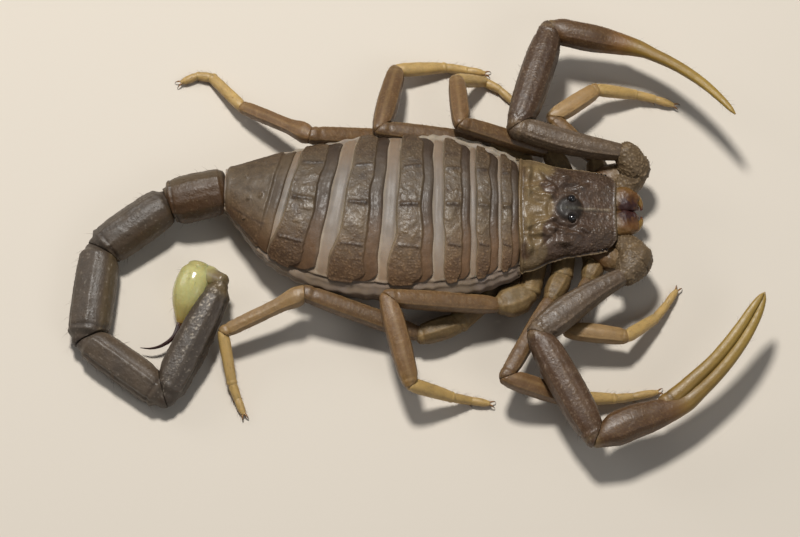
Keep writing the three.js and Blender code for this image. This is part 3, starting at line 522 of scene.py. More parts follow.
def tergite_piece(i):
    rear, gran, front = TERGITES[i]
    last = i == 6
    lead = front - gran
    nv = int((front - rear) / 0.058)
    xs = edged(rear, front, nv)
    us = edged(0.0, 1.0, 250, fringe=0.012, extra=5)
    X, U = np.meshgrid(xs, us, indexing="ij")
    V = (X - rear) / (gran - rear)                              # 0 at the rear rim, 1 where the granular field starts
    lead_t = np.clip((X - gran) / lead, 0, 1)
    # the leading band tapers to the sides; the rear corners are rounded
    e = 16.5 + 6 * (1 - smooth(V, 0, 0.22)) ** 2 + 10 * lead_t ** 1.5
    if last:
        e = 15 + 4 * (1 - smooth(X, -14, -13.2))
    A = lerp(e + side_gap(X, False), 180 - e - side_gap(X, True), U)
    side = np.abs(U - 0.5) * 2
    Vr = V                                                      # the field's front corners are rounded off
    if not last:
        V = V + 0.38 * smooth(side, 0.76, 1.0) ** 2 * smooth(V, 0.3, 0.8)
        V = V + 0.10 * smooth(V, 0.4, 0.8) * fbm(np.stack([A * 0.07, A * 0, V * 0.3], -1), 1.0, 39 + i)
    wave = 0.05 * np.sin(A * 0.16 + i) + 0.04 * noise(np.stack([A * 0.1, A * 0, A * 0], -1), 1.0, 40 + i)
    X2 = X + wave * (1 - last * 0.7)
    if i in (3, 4, 5):                                          # the rear corners of the hind plates reach back on the right flank
        X2 = X2 - 0.50 * smooth(U, 0.66, 0.92) * (1 - smooth(V, 0.1, 1.0))
    P0 = trunk_point(X2, A, 0.0)
    arc = (A - 90) / 90 * station(TRUNK, X)[..., 1] * 1.15      # rough distance over the back from the midline, mm
    field = smooth(V, 0.02, 0.10) * (1 - smooth(V, 0.93, 1.02))
    if last:
        field = smooth(X, -13.9, -13.4) * (1 - smooth(X, -10.5, -10.2))
    # relief, mm above the plate line
    h = 0.05 * np.sin(np.clip(V, 0, 1) * math.pi) - 0.14 * smooth(V, 0.94, 1.06)
    h = h + 0.05 * bell(V, 0.05, 0.05) + 0.035 * bell(V, 0.97, 0.035)
    h = h + 0.05 * np.sin(np.clip(lead_t, 0, 1) * math.pi) * (V > 1)
    # middle keel and side keels, short blades across the granular field
    gw = gran - rear
    keels = np.zeros_like(h)
    kshade = np.zeros_like(h)
    spots = [(0.0, 1.0), (2.45, 0.9), (-2.35, 0.9)] if not last else [(0.0, 0.2), (2.1, 0.35), (-2.0, 0.4), (3.5, 0.9), (-3.3, 0.5)]
    for pos, amt in spots:
        shift = pos * (1 + 0.07 * (V - 0.5)) * lerp(0.86, 1.0, min(1, gw / 2.0)) if not last else pos * lerp(0.45, 1.05, np.clip((X + 14) / 4.0, 0, 1))
        curve_ = 0.10 * (V - 0.5) ** 2 * np.sign(pos)
        d = arc - shift - curve_
        run = smooth(V, 0.10, 0.2) * (1 - smooth(V, 0.86, 0.98)) if not last else smooth(X, -13.0, -12.2) * (1 - smooth(X, -10.6, -10.3))
        bead = 0.86 + 0.14 * noise(P0, 0.16, 45 + i)
        keels = keels + amt * (0.11 if pos == 0 else 0.07) * np.exp(-(d / 0.10) ** 2) * run * bead
        kshade = np.maximum(kshade, amt * np.exp(-((d - 0.03) / 0.15) ** 2) * run)
    # granules: dense to the sides and along the rear, worn smooth in the middle
    cover = np.clip(0.25 + 0.5 * smooth(side, 0.25, 0.75) + 0.35 * bell(V, 0.1, 0.15) + 0.15 * noise(P0, 1.2, 50 + i), 0, 0.9) * field
    calm = 0.45 if last else 1.0
    g = domes(P0, 0.22, 60 + i, cover * (0.55 if last else 1.0))
    g2 = domes(P0, 0.12, 80 + i, 0.7 * field + 0.12)
    lumps = np.clip(2.2 * fbm(P0 * np.array([0.7, 1, 1]), 0.55, 90 + i) - 0.05, 0, 1) * field * (1 - smooth(side, 0.3, 0.6)) * (0.3 if last else 1.0)
    h = h + keels + calm * (lerp(0.034, 0.044, smooth(side, 0.25, 0.7)) * g ** 0.8 + 0.018 * g2) + 0.052 * lumps + (0.10 if last else 0.07) * fbm(P0, 1.2, 100 + i) * field + 0.03 * fbm(P0, 0.5, 105 + i)
    if last:
        beads = sum(bell(np.hypot(X - bx, arc - ba), 0, 0.13) for bx, ba in ((-12.0, 0.55), (-11.1, 0.25), (-12.5, -0.6), (-11.4, -1.9), (-12.1, 1.75)))
        h = h + 0.16 * beads
    # fine growth lines across the smooth leading band
    h = h + 0.004 * np.sin(lead_t * 22 + 2.0 * noise(P0, 1.0, 110)) * (V > 1.04) + 0.03 * fbm(P0, 0.8, 111) * (V > 1.02)
    width = station(TRUNK, X)[..., 1]
    dist = np.minimum(np.minimum(X - rear, front - X), np.minimum(U, 1 - U) * width * 2.6)
    lift = 0.05 * smooth(0.5 - np.minimum(U, 1 - U) * width * 2.6, 0.0, 0.35) + 0.03
    h = h + lift * (V < 1.0) - rim(dist, 0.22) * 1.0
    P = trunk_point(X2, A, -h)
    inner_x, inner_u = np.linspace(rear + 0.02, front - 0.02, 10), np.linspace(0.004, 0.996, 40)
    IX, IU = np.meshgrid(inner_x, inner_u, indexing="ij")
    IV = (IX - rear) / (gran - rear)
    ie = 16.5 + 6 * (1 - smooth(IV, 0, 0.22)) ** 2 + 10 * np.clip((IX - gran) / lead, 0, 1) ** 1.5 if not last else 15 + 4 * (1 - smooth(IX, -14, -13.2))
    inner = trunk_point(IX, lerp(ie + side_gap(IX, False), 180 - ie - side_gap(IX, True), IU), 0.40)
    # colour
    lowside = smooth(U, 0.52, 0.95)                              # the animal's right flank is browner and duller
    mid = bell(side, 0, 0.55)
    t = mix(OLIVE, GREYBROWN, np.clip(mid + 0.2 * noise(P, 1.0, 120), 0, 1))
    t = mix(t, BROWN, np.clip(0.75 * lowside + 0.35 * smooth(side, 0.5, 0.9) + 0.2 * fbm(P, 1.1, 121), 0, 1))
    deepen = {5: 0.75, 4: 0.25, 6: 0.2}.get(i, 0.0) * lowside
    t = mix(t, DEEP, np.clip(deepen + 0.15 * fbm(P, 0.8, 125), 0, 1))
    band = smooth(V, 0.97, 1.06)
    dark = mix(rgb(92, 76, 64), rgb(112, 88, 66), smooth(U, 0.35, 0.8))
    dark = mix(dark, rgb(66, 48, 35), 0.9 * (1 - smooth(U, 0.12, 0.32)))
    t = mix(t, dark, band * (0.85 if not last else 0.12))
    t = mix(t, BAND, 0.55 * smooth(lead_t + 0.12 * noise(P0, 0.6, 132), 0.72, 1.0) * (V > 1) * (not last))
    t = mix(t, rgb(122, 114, 106), 0.55 * band * bell(U, 0.42, 0.15) * (not last))
    t = mix(t, DEEP * 0.9, np.clip(1.3 * fbm(P, 0.75, 128) - 0.05, 0, 0.6) * field * (0.5 if last else 1.0))
    # painted shadow along the keels
    t = mix(t, DEEP * 0.6, 0.92 * kshade)
    t = mix(t, rgb(168, 140, 108), 0.36 * g ** 1.5 * field * (0.5 + 0.5 * smooth(side, 0.3, 0.8)))
    t = mix(t, rgb(170, 150, 122), 0.28 * g2 * field)
    # painted shade between the granules of the field
    t = mix(t, DEEP, 0.35 * (1 - np.clip(g + 0.6 * g2 + lumps, 0, 1)) * field * (0.4 + 0.6 * smooth(side, 0.2, 0.7)))
    # painted highlight: the glossy lumps in the middle of the field are tinted pale
    t = mix(t, rgb(150, 139, 122), 0.32 * lumps * mid)
    # painted sheen: pale mottled patches across the middle of the field
    t = mix(t, rgb(150, 140, 124), 0.40 * mid * field * np.clip(fbm(P * np.array([1, 0.45, 1]), 0.9, 126), 0, 1))
    # painted highlight along the rear rim
    t = mix(t, PALE, 0.60 * bell(Vr, 0.02, 0.035) * (1 - 0.3 * lowside) * (0.25 if last else 1))
    t = mix(t, PALE_WARM, 0.45 * bell(V, 0.99, 0.03) * smooth(side, 0.72, 0.9) * (not last))
    t = mix(t, PALE_WARM, 0.7 * bell(np.minimum(U, 1 - U) * width * 2.6, 0.07, 0.10) * (V < 1.0))
    t = mix(t, rgb(70, 56, 50), 0.4 * band * bell(arc, 0, 0.9))
    # random tone, a set tone for some plates, and painted light: the left half of each plate is darkened and the right
    # half lightened
    t = t * (1 + 0.14 * fbm(P, 0.35, 130))[..., None] * (lerp(0.66, 1.12, smooth(U, 0.40, 0.86)) * {2: 1.1, 1: 1.06, 0: 1.06, 5: 0.95}.get(i, 1.0))[..., None]
    if last:
        # painted shadow line along a side keel of the last plate
        t = mix(t, rgb(66, 52, 42), 0.55 * bell(arc, 1.55 + 0.2 * (X + 12), 0.10) * smooth(X, -13.6, -13.0) * (1 - smooth(X, -10.4, -10.0)))
    r = 0.60 - 0.05 * mid * field + 0.08 * noise(P, 0.5, 131) - 0.09 * lumps - 0.03 * band * mid
    s = Shape()
    s.plate(P, inner, t, r, DEEP)
    return build(f"tergite_{i + 1}", s, M_BACK, [f"tergite_{i + 1}"], "back_plate")


# ------------------------------------------------------------------ head shield, eyes, jaws
FRONT_X, NOTCH = 17.44, 0.06
EYE_X, EYE_SPREAD, EYE_R, EYE_SHIFT = 13.74, 0.82, 0.36, -0.11


def shield_point(x, u, depth=0.0):
    s4 = station(SHIELD, x)
    yc, w, top, edge = (s4[..., k] for k in range(4))
    q = u * math.pi
    y = superp(np.cos(q), 2.7) * (w - depth * 0.6)
    z = superp(np.sin(q), 2.1) * (top - edge)
    return np.stack([x + 0 * u, yc + y, edge + z - depth], -1)


def shield_x(u, v):
    c = np.cos(u * math.pi)
    rear = 9.46 + 0.16 * np.clip(np.abs(c), 0, 1) ** 3 - 0.05 * np.cos(c * 5)
    corner = 0.75 * np.clip((np.abs(c) - 0.80) / 0.20, 0, 1) ** 2.2
    return lerp(rear, FRONT_X - NOTCH * np.exp(-((c / 0.35) ** 2)) - corner, v)


def carapace_piece():
    vs, us = edged(0, 1, 190, fringe=0.022, extra=6), edged(0, 1, 240, fringe=0.012, extra=6)
    V, U = np.meshgrid(vs, us, indexing="ij")
    X = shield_x(U, V)
    P0 = shield_point(X, U)
    yc = station(SHIELD, X)[..., 0]
    w = station(SHIELD, X)[..., 1]
    y = P0[..., 1] - yc                                         # + is the animal's left
    f = y / w
    ay = np.abs(y)
    # eye hill, with its rim crests and the furrows round it
    yh = y - EYE_SHIFT
    hill = np.clip(1 - ((X - 13.55) / 1.25) ** 2 - (yh / 1.22) ** 2, 0, 1)
    h = 0.30 * smooth(hill, 0, 0.75)
    ring = np.sqrt(((X - 13.45) / 1.40) ** 2 + (yh / 1.40) ** 2)
    h = h - 0.13 * bell(ring, 1.12, 0.13) * (X < 14.4)
    crest = bell(ring, 0.88, 0.085) * smooth(ay, 0.3, 0.7) * (1 - smooth(X, 13.5, 14.2))
    crest = crest * (0.25 + 0.75 * smooth(-y, 0.1, 0.6))
    h = h + 0.03 * crest
    # middle furrow forward from the eyes, with a fine ridge each side; a wider one behind
    fwd = smooth(X, 14.0, 14.5) * (1 - smooth(X, 16.7, 17.0))
    beads = 0.7 + 0.3 * np.cos(X / 0.27 * 2 * math.pi + 2 * noise(P0, 0.6, 198))
    h = h + 0.07 * bell(yh, 0, 0.09) * fwd * beads - 0.07 * bell(np.abs(yh), 0.24, 0.10) * fwd
    saddle = bell(yh, 0, 0.22) * smooth(X, 12.6, 13.0) * (1 - smooth(X, 14.0, 14.3))
    h = h - 0.03 * saddle
    behind = smooth(X, 9.9, 10.4) * (1 - smooth(X, 11.9, 12.3))
    h = h - 0.10 * bell(y, 0, 0.28) * behind
    cross = bell(X, 10.55 - 0.25 * np.cos(f * 3), 0.22) * smooth(ay, 0.4, 1.0) * (1 - smooth(np.abs(f), 0.75, 0.95))
    h = h - 0.10 * cross
    # keels behind the eyes: a Y of glossy ridges on the left, bosses on the right
    yk = 1.15 + 0.45 * smooth(X, 11.4, 10.0)
    ridge_m = bell(ay, yk, 0.15) * smooth(X, 9.9, 10.3) * (1 - smooth(X, 11.9, 12.3))
    h = h + 0.12 * ridge_m
    arm2 = bell(ay - (1.55 + (X - 11.1) * -0.75), 0, 0.14) * smooth(X, 10.9, 11.1) * (1 - smooth(X, 11.9, 12.2))
    h = h + 0.07 * arm2
    side_keel = bell(ay, 2.15 + 0.12 * (X - 11), 0.15) * smooth(X, 9.9, 10.3) * (1 - smooth(X, 12.2, 12.8))
    h = h - 0.06 * bell(ay, 1.92 + 0.05 * (X - 11), 0.14) * smooth(X, 9.8, 10.2) * (1 - smooth(X, 12.0, 12.5)) + 0.06 * side_keel
    # lateral furrow curving out to the flank, and bosses before it
    lat = bell(ay - (2.3 + 0.9 * (12.2 - X)), 0, 0.25) * smooth(X, 11.0, 11.4) * (1 - smooth(X, 12.5, 12.9))
    h = h - 0.10 * lat
    # glossy swellings: wet-looking lumps behind the eyes and long bosses before and beside them
    gloss = np.zeros_like(h)
    for bx, by, rx, ry, ba, sd_ in ((10.28, 1.35, 0.26, 0.60, 0.26, 0), (10.95, 1.75, 0.34, 0.26, 0.18, 1), (11.25, 2.05, 0.34, 0.30, 0.26, -1), (10.35, 3.25, 0.32, 0.42, 0.24, 0),
                                    (12.15, 0.95, 0.28, 0.24, 0.22, 0), (11.1, 0.55, 0.5, 0.22, -0.12, 0), (10.75, 2.5, 0.36, 0.42, -0.16, 0), (13.2, 2.55, 0.46, 0.26, 0.22, 1),
                                    (13.05, 2.80, 0.62, 0.26, 0.24, -1), (13.0, 1.85, 0.40, 0.22, 0.14, -1), (14.6, 1.75, 0.40, 0.22, 0.16, 0), (12.55, 2.3, 0.25, 0.6, -0.12, 0)):
        k = np.exp(-(((X - bx) / rx) ** 2 + ((ay - by) / ry) ** 2)) * (1 if sd_ == 0 else smooth(y * sd_, 0, 0.4))
        h = h + ba * (1.6 if bx < 11.6 else 1.5) * k
        if ba > 0:
            gloss = np.maximum(gloss, k)
    for bx, by, br, ba in ((12.35, 1.75, 0.42, 0.16), (12.9, 2.35, 0.5, 0.13), (14.2, 2.2, 0.55, 0.08), (11.35, 3.1, 0.45, 0.10), (15.4, 1.5, 0.8, 0.05), (10.35, 2.9, 0.4, 0.10), (12.25, 0.95, 0.28, 0.10)):
        h = h + 1.5 * ba * np.exp(-(((X - bx) / br) ** 2 + ((ay - by) / (br * 0.8)) ** 2))
    # the front slopes into two broad hollows beside the middle line
    h = h - 0.16 * np.exp(-(((X - 15.6) / 0.95) ** 2 + ((ay - 0.95) / 0.55) ** 2)) + 0.10 * np.exp(-(((X - 15.9) / 0.9) ** 2 + ((ay - 2.2) / 0.5) ** 2))
    h = h - 0.14 * bell(ay - (1.75 + 0.25 * (X - 13.4)), 0, 0.20) * smooth(X, 12.4, 12.8) * (1 - smooth(X, 14.6, 15.2))
    brow = bell(ay - (2.15 - 0.10 * (X - 13.2)), 0, 0.16) * smooth(X, 12.9, 13.2) * (1 - smooth(X, 14.9, 15.4))
    h = h + 0.10 * brow
    h = h + 0.07 * fbm(P0, 1.3, 200) + 0.05 * fbm(P0, 0.55, 203)
    # granules: thick over the front, sparse and glossy behind
    frontal = smooth(X, 11.6, 12.6)
    clear = 1 - smooth(hill, 0.25, 0.6)
    cover = np.clip((0.16 + 0.50 * frontal) * clear + 0.15 * noise(P0, 1.1, 205), 0, 0.92)
    edge_gran = np.maximum(smooth(np.abs(f), 0.86, 0.96), smooth(X, 16.5, 16.9))
    g = domes(P0, 0.17, 210, np.clip(cover + 0.3 * edge_gran, 0, 1) * (1 - 0.9 * smooth(gloss, 0.2, 0.6)))
    g2 = domes(P0, 0.11, 214, 0.75 * clear)
    big = domes(P0, 0.33, 216, np.clip(0.35 * frontal + 0.5 * (ridge_m + side_keel + crest), 0, 1) * clear)
    h = h + 0.028 * g ** 0.8 + 0.009 * g2 + 0.042 * big
    # raised rim on the sides and front, a smooth step behind
    along_edge = np.minimum(U, 1 - U) * w * 2.3
    h = h + 0.09 * bell(along_edge, 0.16, 0.13) + 0.07 * bell(X, shield_x(U, np.ones_like(V)) - 0.16, 0.11) - 0.06 * bell(along_edge, 0.5, 0.2)
    rear_d = X - shield_x(U, np.zeros_like(V))
    h = h + 0.08 * bell(rear_d, 0.14, 0.10) - 0.05 * bell(rear_d, 0.40, 0.14)
    front_d = shield_x(U, np.ones_like(V)) - X
    h = h - rim(np.minimum(np.minimum(along_edge, rear_d), front_d), 0.2)
    # seat for the eyes
    for sy in (1, -1):
        d = np.hypot(X - EYE_X, yh - sy * EYE_SPREAD)
        h = h - 0.10 * smooth(0.42 - d, 0, 0.25) + 0.05 * bell(d, 0.47, 0.08)
    N = grid_normals(P0, False)
    if N[95, 120, 2] < 0:
        N = -N
    P = P0 + N * h[..., None]
    IV, IU = np.meshgrid(np.linspace(0.01, 0.99, 14), np.linspace(0.006, 0.994, 34), indexing="ij")
    inner = shield_point(shield_x(IU, IV), IU, 0.42)
    # colour
    edge_line = 12.1 - 0.55 * bell(np.abs(f), 0.5, 0.25) + 0.35 * np.cos(f * 7.5) + 0.25 * noise(P0, 0.9, 220) - 0.75 * smooth(np.abs(f), 0.55, 0.95) * (y < 0)
    zone = smooth(X, edge_line - 0.22, edge_line + 0.22)
    t = mix(HEAD_OLIVE, HEAD_DARK, zone)
    t = mix(t, rgb(98, 84, 70), np.clip(zone * smooth(X, 14.8, 16.8), 0, 1) * 0.7)
    t = mix(t, HEAD_DEEP, 0.55 * zone * np.clip(0.5 + fbm(P0, 1.2, 221), 0, 1))
    t = mix(t, rgb(116, 92, 84), 0.30 * zone * np.clip(fbm(P0, 0.7, 223) + 0.3, 0, 1))
    t = mix(t, rgb(134, 118, 86), 0.45 * (1 - zone) * bell(f, -0.1, 0.35))
    t = mix(t, rgb(146, 132, 98), 0.8 * np.exp(-(((X - 11.5) / 0.75) ** 2 + ((y - 3.6) / 0.55) ** 2)))   # pale patch on the left
    t = mix(t, rgb(78, 56, 40), 0.85 * smooth(np.exp(-(((X - 10.0) / 0.62) ** 2 + ((y + 3.45) / 0.85) ** 2)), 0.35, 0.75))
    t = mix(t, rgb(96, 76, 54), 0.6 * smooth(np.exp(-(((X - 10.0) / 0.6) ** 2 + ((y - 3.2) / 0.7) ** 2)), 0.35, 0.75))
    t = mix(t, rgb(34, 28, 24), 0.94 * smooth(hill, 0.06, 0.40))
    t = mix(t, rgb(96, 92, 84), 0.25 * crest)
    # painted highlight: the glossy swellings are tinted pale
    t = mix(t, mix(rgb(156, 146, 122), rgb(112, 104, 100), zone), 0.55 * gloss)
    # painted highlight along the fine median ridge ahead of the eyes
    t = mix(t, rgb(176, 170, 156), 0.80 * bell(yh, 0, 0.11) * fwd * (0.35 + 0.65 * np.maximum(bell(X, 15.1, 0.45), bell(X, 16.7, 0.35))))
    # painted sheen: a teal-grey patch in the saddle between the eyes
    t = mix(t, rgb(80, 86, 80), 0.35 * bell(yh, 0, 0.16) * smooth(X, 12.6, 13.0) * (1 - smooth(X, 14.0, 14.4)))
    # painted shade in the lateral furrow and in the groove beside the keel behind the eyes
    t = mix(t, DEEP * 0.8, 0.5 * lat + 0.45 * bell(ay, 1.92 + 0.05 * (X - 11), 0.08) * behind)
    t = mix(t, rgb(160, 142, 118), np.clip(0.13 * g * frontal + 0.06 * g2 * frontal + 0.35 * big * (1 - frontal), 0, 1) * (1 - gloss))
    # painted shade between the granules on the front
    t = mix(t, rgb(52, 40, 34), 0.40 * frontal * (1 - np.clip(g + g2, 0, 1)) * clear)
    t = mix(t, rgb(186, 170, 138), 0.90 * bell(along_edge, 0.12, 0.12) * (1 - smooth(X, 16.2, 17.0)))
    t = mix(t, rgb(132, 124, 108), 0.7 * bell(front_d, 0.09, 0.09))
    t = mix(t, PALE_WARM, 0.15 * bell(rear_d, 0.10, 0.08))
    # painted shade in the hollow before the rear rim
    t = mix(t, HEAD_DEEP, 0.5 * bell(rear_d, 0.42, 0.10) * (np.abs(f) < 0.8))
    t = t * (1 + 0.10 * fbm(P, 0.3, 224))[..., None]
    r = 0.50 - 0.30 * gloss - 0.10 * (1 - frontal) * bell(np.abs(f), 0.2, 0.5) - 0.16 * np.clip(ridge_m + arm2 + brow, 0, 1) + 0.06 * noise(P, 0.4, 225) + 0.06 * smooth(hill, 0.1, 0.4)
    s = Shape()
    s.plate(P, inner, t, r, HEAD_DEEP)
    # three small eyes at each front corner
    for sy in (1, -1):
        for k in range(3):
            ex = 16.55 - 0.34 * k
            u_e = 0.5 - sy * (0.5 - (0.075 + 0.008 * k))
            c = shield_point(np.array(ex), np.array(u_e))
            n = unit(c - np.array([ex - 0.2, 4.78, 3.6]))
            dome(s, c + n * 0.0, n, 0.13 - 0.015 * k, 0.10, BLACK, 0.12)
    return build("carapace", s, M_HEAD, ["carapace"], "head_shield")


def dome(s, c, n, r, high, tint, rough, m=14, k=6, sink=0.6):
    """A small rounded bead with its foot buried."""
    n = unit(n)
    a = unit(np.cross(n, [0.31, 0.9, 0.23]))
    b = np.cross(n, a)
    th = np.linspace(0.12, math.pi - 0.12, k * 2)
    ph = np.arange(m) / m * 2 * math.pi
    P = np.array([[c + (a * math.cos(p) + b * math.sin(p)) * r * math.sin(t) + n * (high if t < math.pi / 2 else r * sink) * math.cos(t) for p in ph] for t in th])
    s.tube(P, tint, rough)


def eye_pieces():
    for name, sy in (("eye_left", 1), ("eye_right", -1)):
        st = station(SHIELD, EYE_X)
        c = np.array([EYE_X, st[0] + EYE_SHIFT + sy * EYE_SPREAD, st[2] + 0.08])
        s = Shape()
        n = unit([0.05, sy * 0.35, 1.0])
        dome(s, c, n, EYE_R * 0.93, EYE_R * 0.93, rgb(14, 12, 14), 0.06, m=40, k=14, sink=0.9)
        build(name, s, M_EYE, [name], "eye")


def jaw_pieces():
    for name, sy in (("chelicera_left", 1), ("chelicera_right", -1)):
        y = 4.89 + sy * 0.99
        C = curve([[16.8, y, 3.62], [17.5, y + sy * 0.02, 3.80], [18.2, y - sy * 0.02, 3.84], [18.80, y - sy * 0.12, 3.70]], [0, 0.35, 0.72, 1], 60)
        tt = np.linspace(0, 1, 60)
        a = 1.00 + 0.06 * np.sin(tt * math.pi * 0.9) - 0.16 * smooth(tt, 0.7, 1.0)
        b = 0.68 + 0.06 * np.sin(tt * math.pi * 0.8) - 0.12 * smooth(tt, 0.7, 1.0)
        P, t, phi, L = limb_rings(C, a, b, UPV, 96, 2.9, 0.2, 0.42, 9)
        N = outward(P)
        h = 0.06 * fbm(P, 0.5, 300) + 0.03 * fbm(P, 0.22, 299) + 0.018 * domes(P, 0.16, 301, 0.5) - 0.06 * bell(turn_to(phi, 90), 0, 12) * smooth(t, 0.5, 0.9)
        P2 = P + N * h[..., None]
        inward = -sy * (P2[..., 1] - y)
        col = mix(JAW_AMBER, rgb(116, 80, 34), np.clip(0.5 + 0.5 * noise(P2, 0.8, 302), 0, 1))
        col = mix(col, rgb(112, 94, 58), 0.7 * (1 - smooth(P2[..., 0], 17.3, 17.9)))
        patch = np.exp(-(((P2[..., 0] - 18.35) / 0.95) ** 2 + ((inward - 0.95) / 1.1) ** 2)) * (P2[..., 2] > 3.2)
        net = np.clip(0.78 + 0.9 * fbm(P2, 0.30, 303), 0, 1)
        col = mix(col, JAW_DARK, np.clip(2.1 * patch ** 1.3 * net, 0, 0.97))
        col = mix(col, rgb(118, 90, 46), 0.5 * smooth(-inward, 0.45, 0.85))
        s = Shape()
        s.tube(P2, col * np.array([0.80, 0.76, 0.64]), 0.56 + 0.10 * noise(P2, 0.3, 304))
        # fixed finger on the inner side, movable finger curving round the outer one, each with its teeth
        for outer in (0, 1):
            if outer:
                pts = [[18.30, y + sy * 0.46, 3.72], [18.90, y + sy * 0.36, 3.70], [19.26, y + sy * 0.04, 3.62], [19.44, y - sy * 0.38, 3.52], [19.42, y - sy * 0.72, 3.46]]
                sz = [0.42, 0.36, 0.27, 0.17, 0.05]
            else:
                pts = [[18.40, y - sy * 0.52, 3.80], [18.82, y - sy * 0.60, 3.76], [19.06, y - sy * 0.66, 3.68], [19.20, y - sy * 0.72, 3.60]]
                sz = [0.36, 0.26, 0.16, 0.05]
            ts = np.linspace(0, 1, len(pts))
            Cf = curve(pts, ts, 44)
            w = np.maximum(station([[q, v] for q, v in zip(ts, sz)], np.linspace(0, 1, 44))[:, 0], 0.03)
            Pf, tf, pf, Lf = limb_rings(Cf, w, w * 1.05, UPV, 36, 2.0, 0.1, 0.03, 5)
            cf = mix(rgb(124, 96, 50) if outer else rgb(78, 34, 18), rgb(84, 34, 18), smooth(tf, 0.62, 0.97))
            s.tube(Pf, cf, 0.22)
            for k in range(4):
                tk = 0.30 + 0.17 * k
                base = Cf[int(tk * 43)]
                dirn = unit(np.array([0.35, -sy * (1 if outer else -0.6), -0.1]))
                wk = w[int(tk * 43)]
                dome(s, base + dirn * wk * 0.85, dirn, 0.055 + 0.02 * (k % 2), 0.13, rgb(70, 30, 16), 0.2, m=8, k=4)
        build(name, s, M_JAW, [name], "jaw")



# ------------------------------------------------------------------ limbs
HAIRS = []                                                     # roots, directions, lengths, places on the unwrap


def mitred(P, joint, before, after, keep, gap=0.012, groove=0.0, reach=0.22, axis=None):
    """Holds a limb's end back at the plane half way between two directions, with a shallow groove next to it."""
    n = unit(np.asarray(before) + np.asarray(after))
    axis = n if axis is None else axis
    d = (P - joint) @ n * keep                                  # positive on the kept side
    if groove:
        centre = P.mean(1, keepdims=True)
        radial = P - centre
        radial = radial - (radial @ axis)[..., None] * axis
        k = groove * np.exp(-(np.clip(d, 0, None) / reach) ** 2)
        P = P - radial * k[..., None]
        d = (P - joint) @ n * keep
    over = np.minimum(d - gap, 0)
    return P - axis * (over / (axis @ n) * keep)[..., None]


def add_hairs(P, N, t, phi, tile, count, along, seed, length=(0.25, 0.7), where=None, lean=0.55, thick=0.011):
    """Picks roots on a limb's own grid; the place on the unwrap is the grid place in that limb's tile."""
    rng = np.random.default_rng(seed)
    n, m = P.shape[:2]
    i, j = rng.integers(3, n - 3, count * 4), rng.integers(0, m, count * 4)
    ok = (t[i, j] > 0.02) & (t[i, j] < 0.98) & (P[i, j, 2] > 0.12)
    if where is not None:
        ok &= where(t[i, j], phi[i, j])
    i, j = i[ok][:count], j[ok][:count]
    if not len(i):
        return
    ln = rng.uniform(*length, len(i))
    dirs = unit(N[i, j] + lean * np.asarray(along) + rng.normal(0, 0.14, (len(i), 3)))
    tx, ty = tile % 10, tile // 10
    uv = np.stack([(tx + 0.05 + 0.9 * j / m) / 10, (ty + 0.05 + 0.9 * i / n) / 10], -1)
    HAIRS.append((P[i, j] - N[i, j] * 0.02, dirs, ln, uv, np.full(len(i), thick), np.broadcast_to(along, (len(i), 3))))


def profile(rows, n):
    """Half widths and heights at n places along a limb."""
    v = station(rows, np.linspace(0, 1, n))
    return v[:, 0], v[:, 1]


def line(p, q, n):
    return np.linspace(p, q, n)


TAIL_JOINTS = np.array([[-14.08, 7.08, 2.95], [-18.75, 6.22, 2.35], [-24.20, 2.38, 1.70], [-25.04, -5.22, 1.60], [-18.78, -9.77, 1.38], [-14.31, -1.06, 3.05]])
TAIL_WIDTH, TAIL_HEIGHT, TAIL_ROLL = [3.75, 3.42, 3.34, 3.02, 2.60], [3.40, 3.32, 3.35, 2.85, 2.75], [14, 58, 82, 88, 84]
VESICLE = dict(start=np.array([-16.14, 0.74, 2.15]), end=np.array([-17.64, -3.60, 1.20]), r=1.50)
NECK = [[-14.92, -0.32, 2.55], [-15.55, 0.02, 2.05]]
STING = [[-17.64, -3.60, 1.2], [-18.18, -4.81, 1.15], [-19.10, -5.50, 1.05], [-19.98, -5.72, 0.95], [-20.85, -5.62, 0.82]]


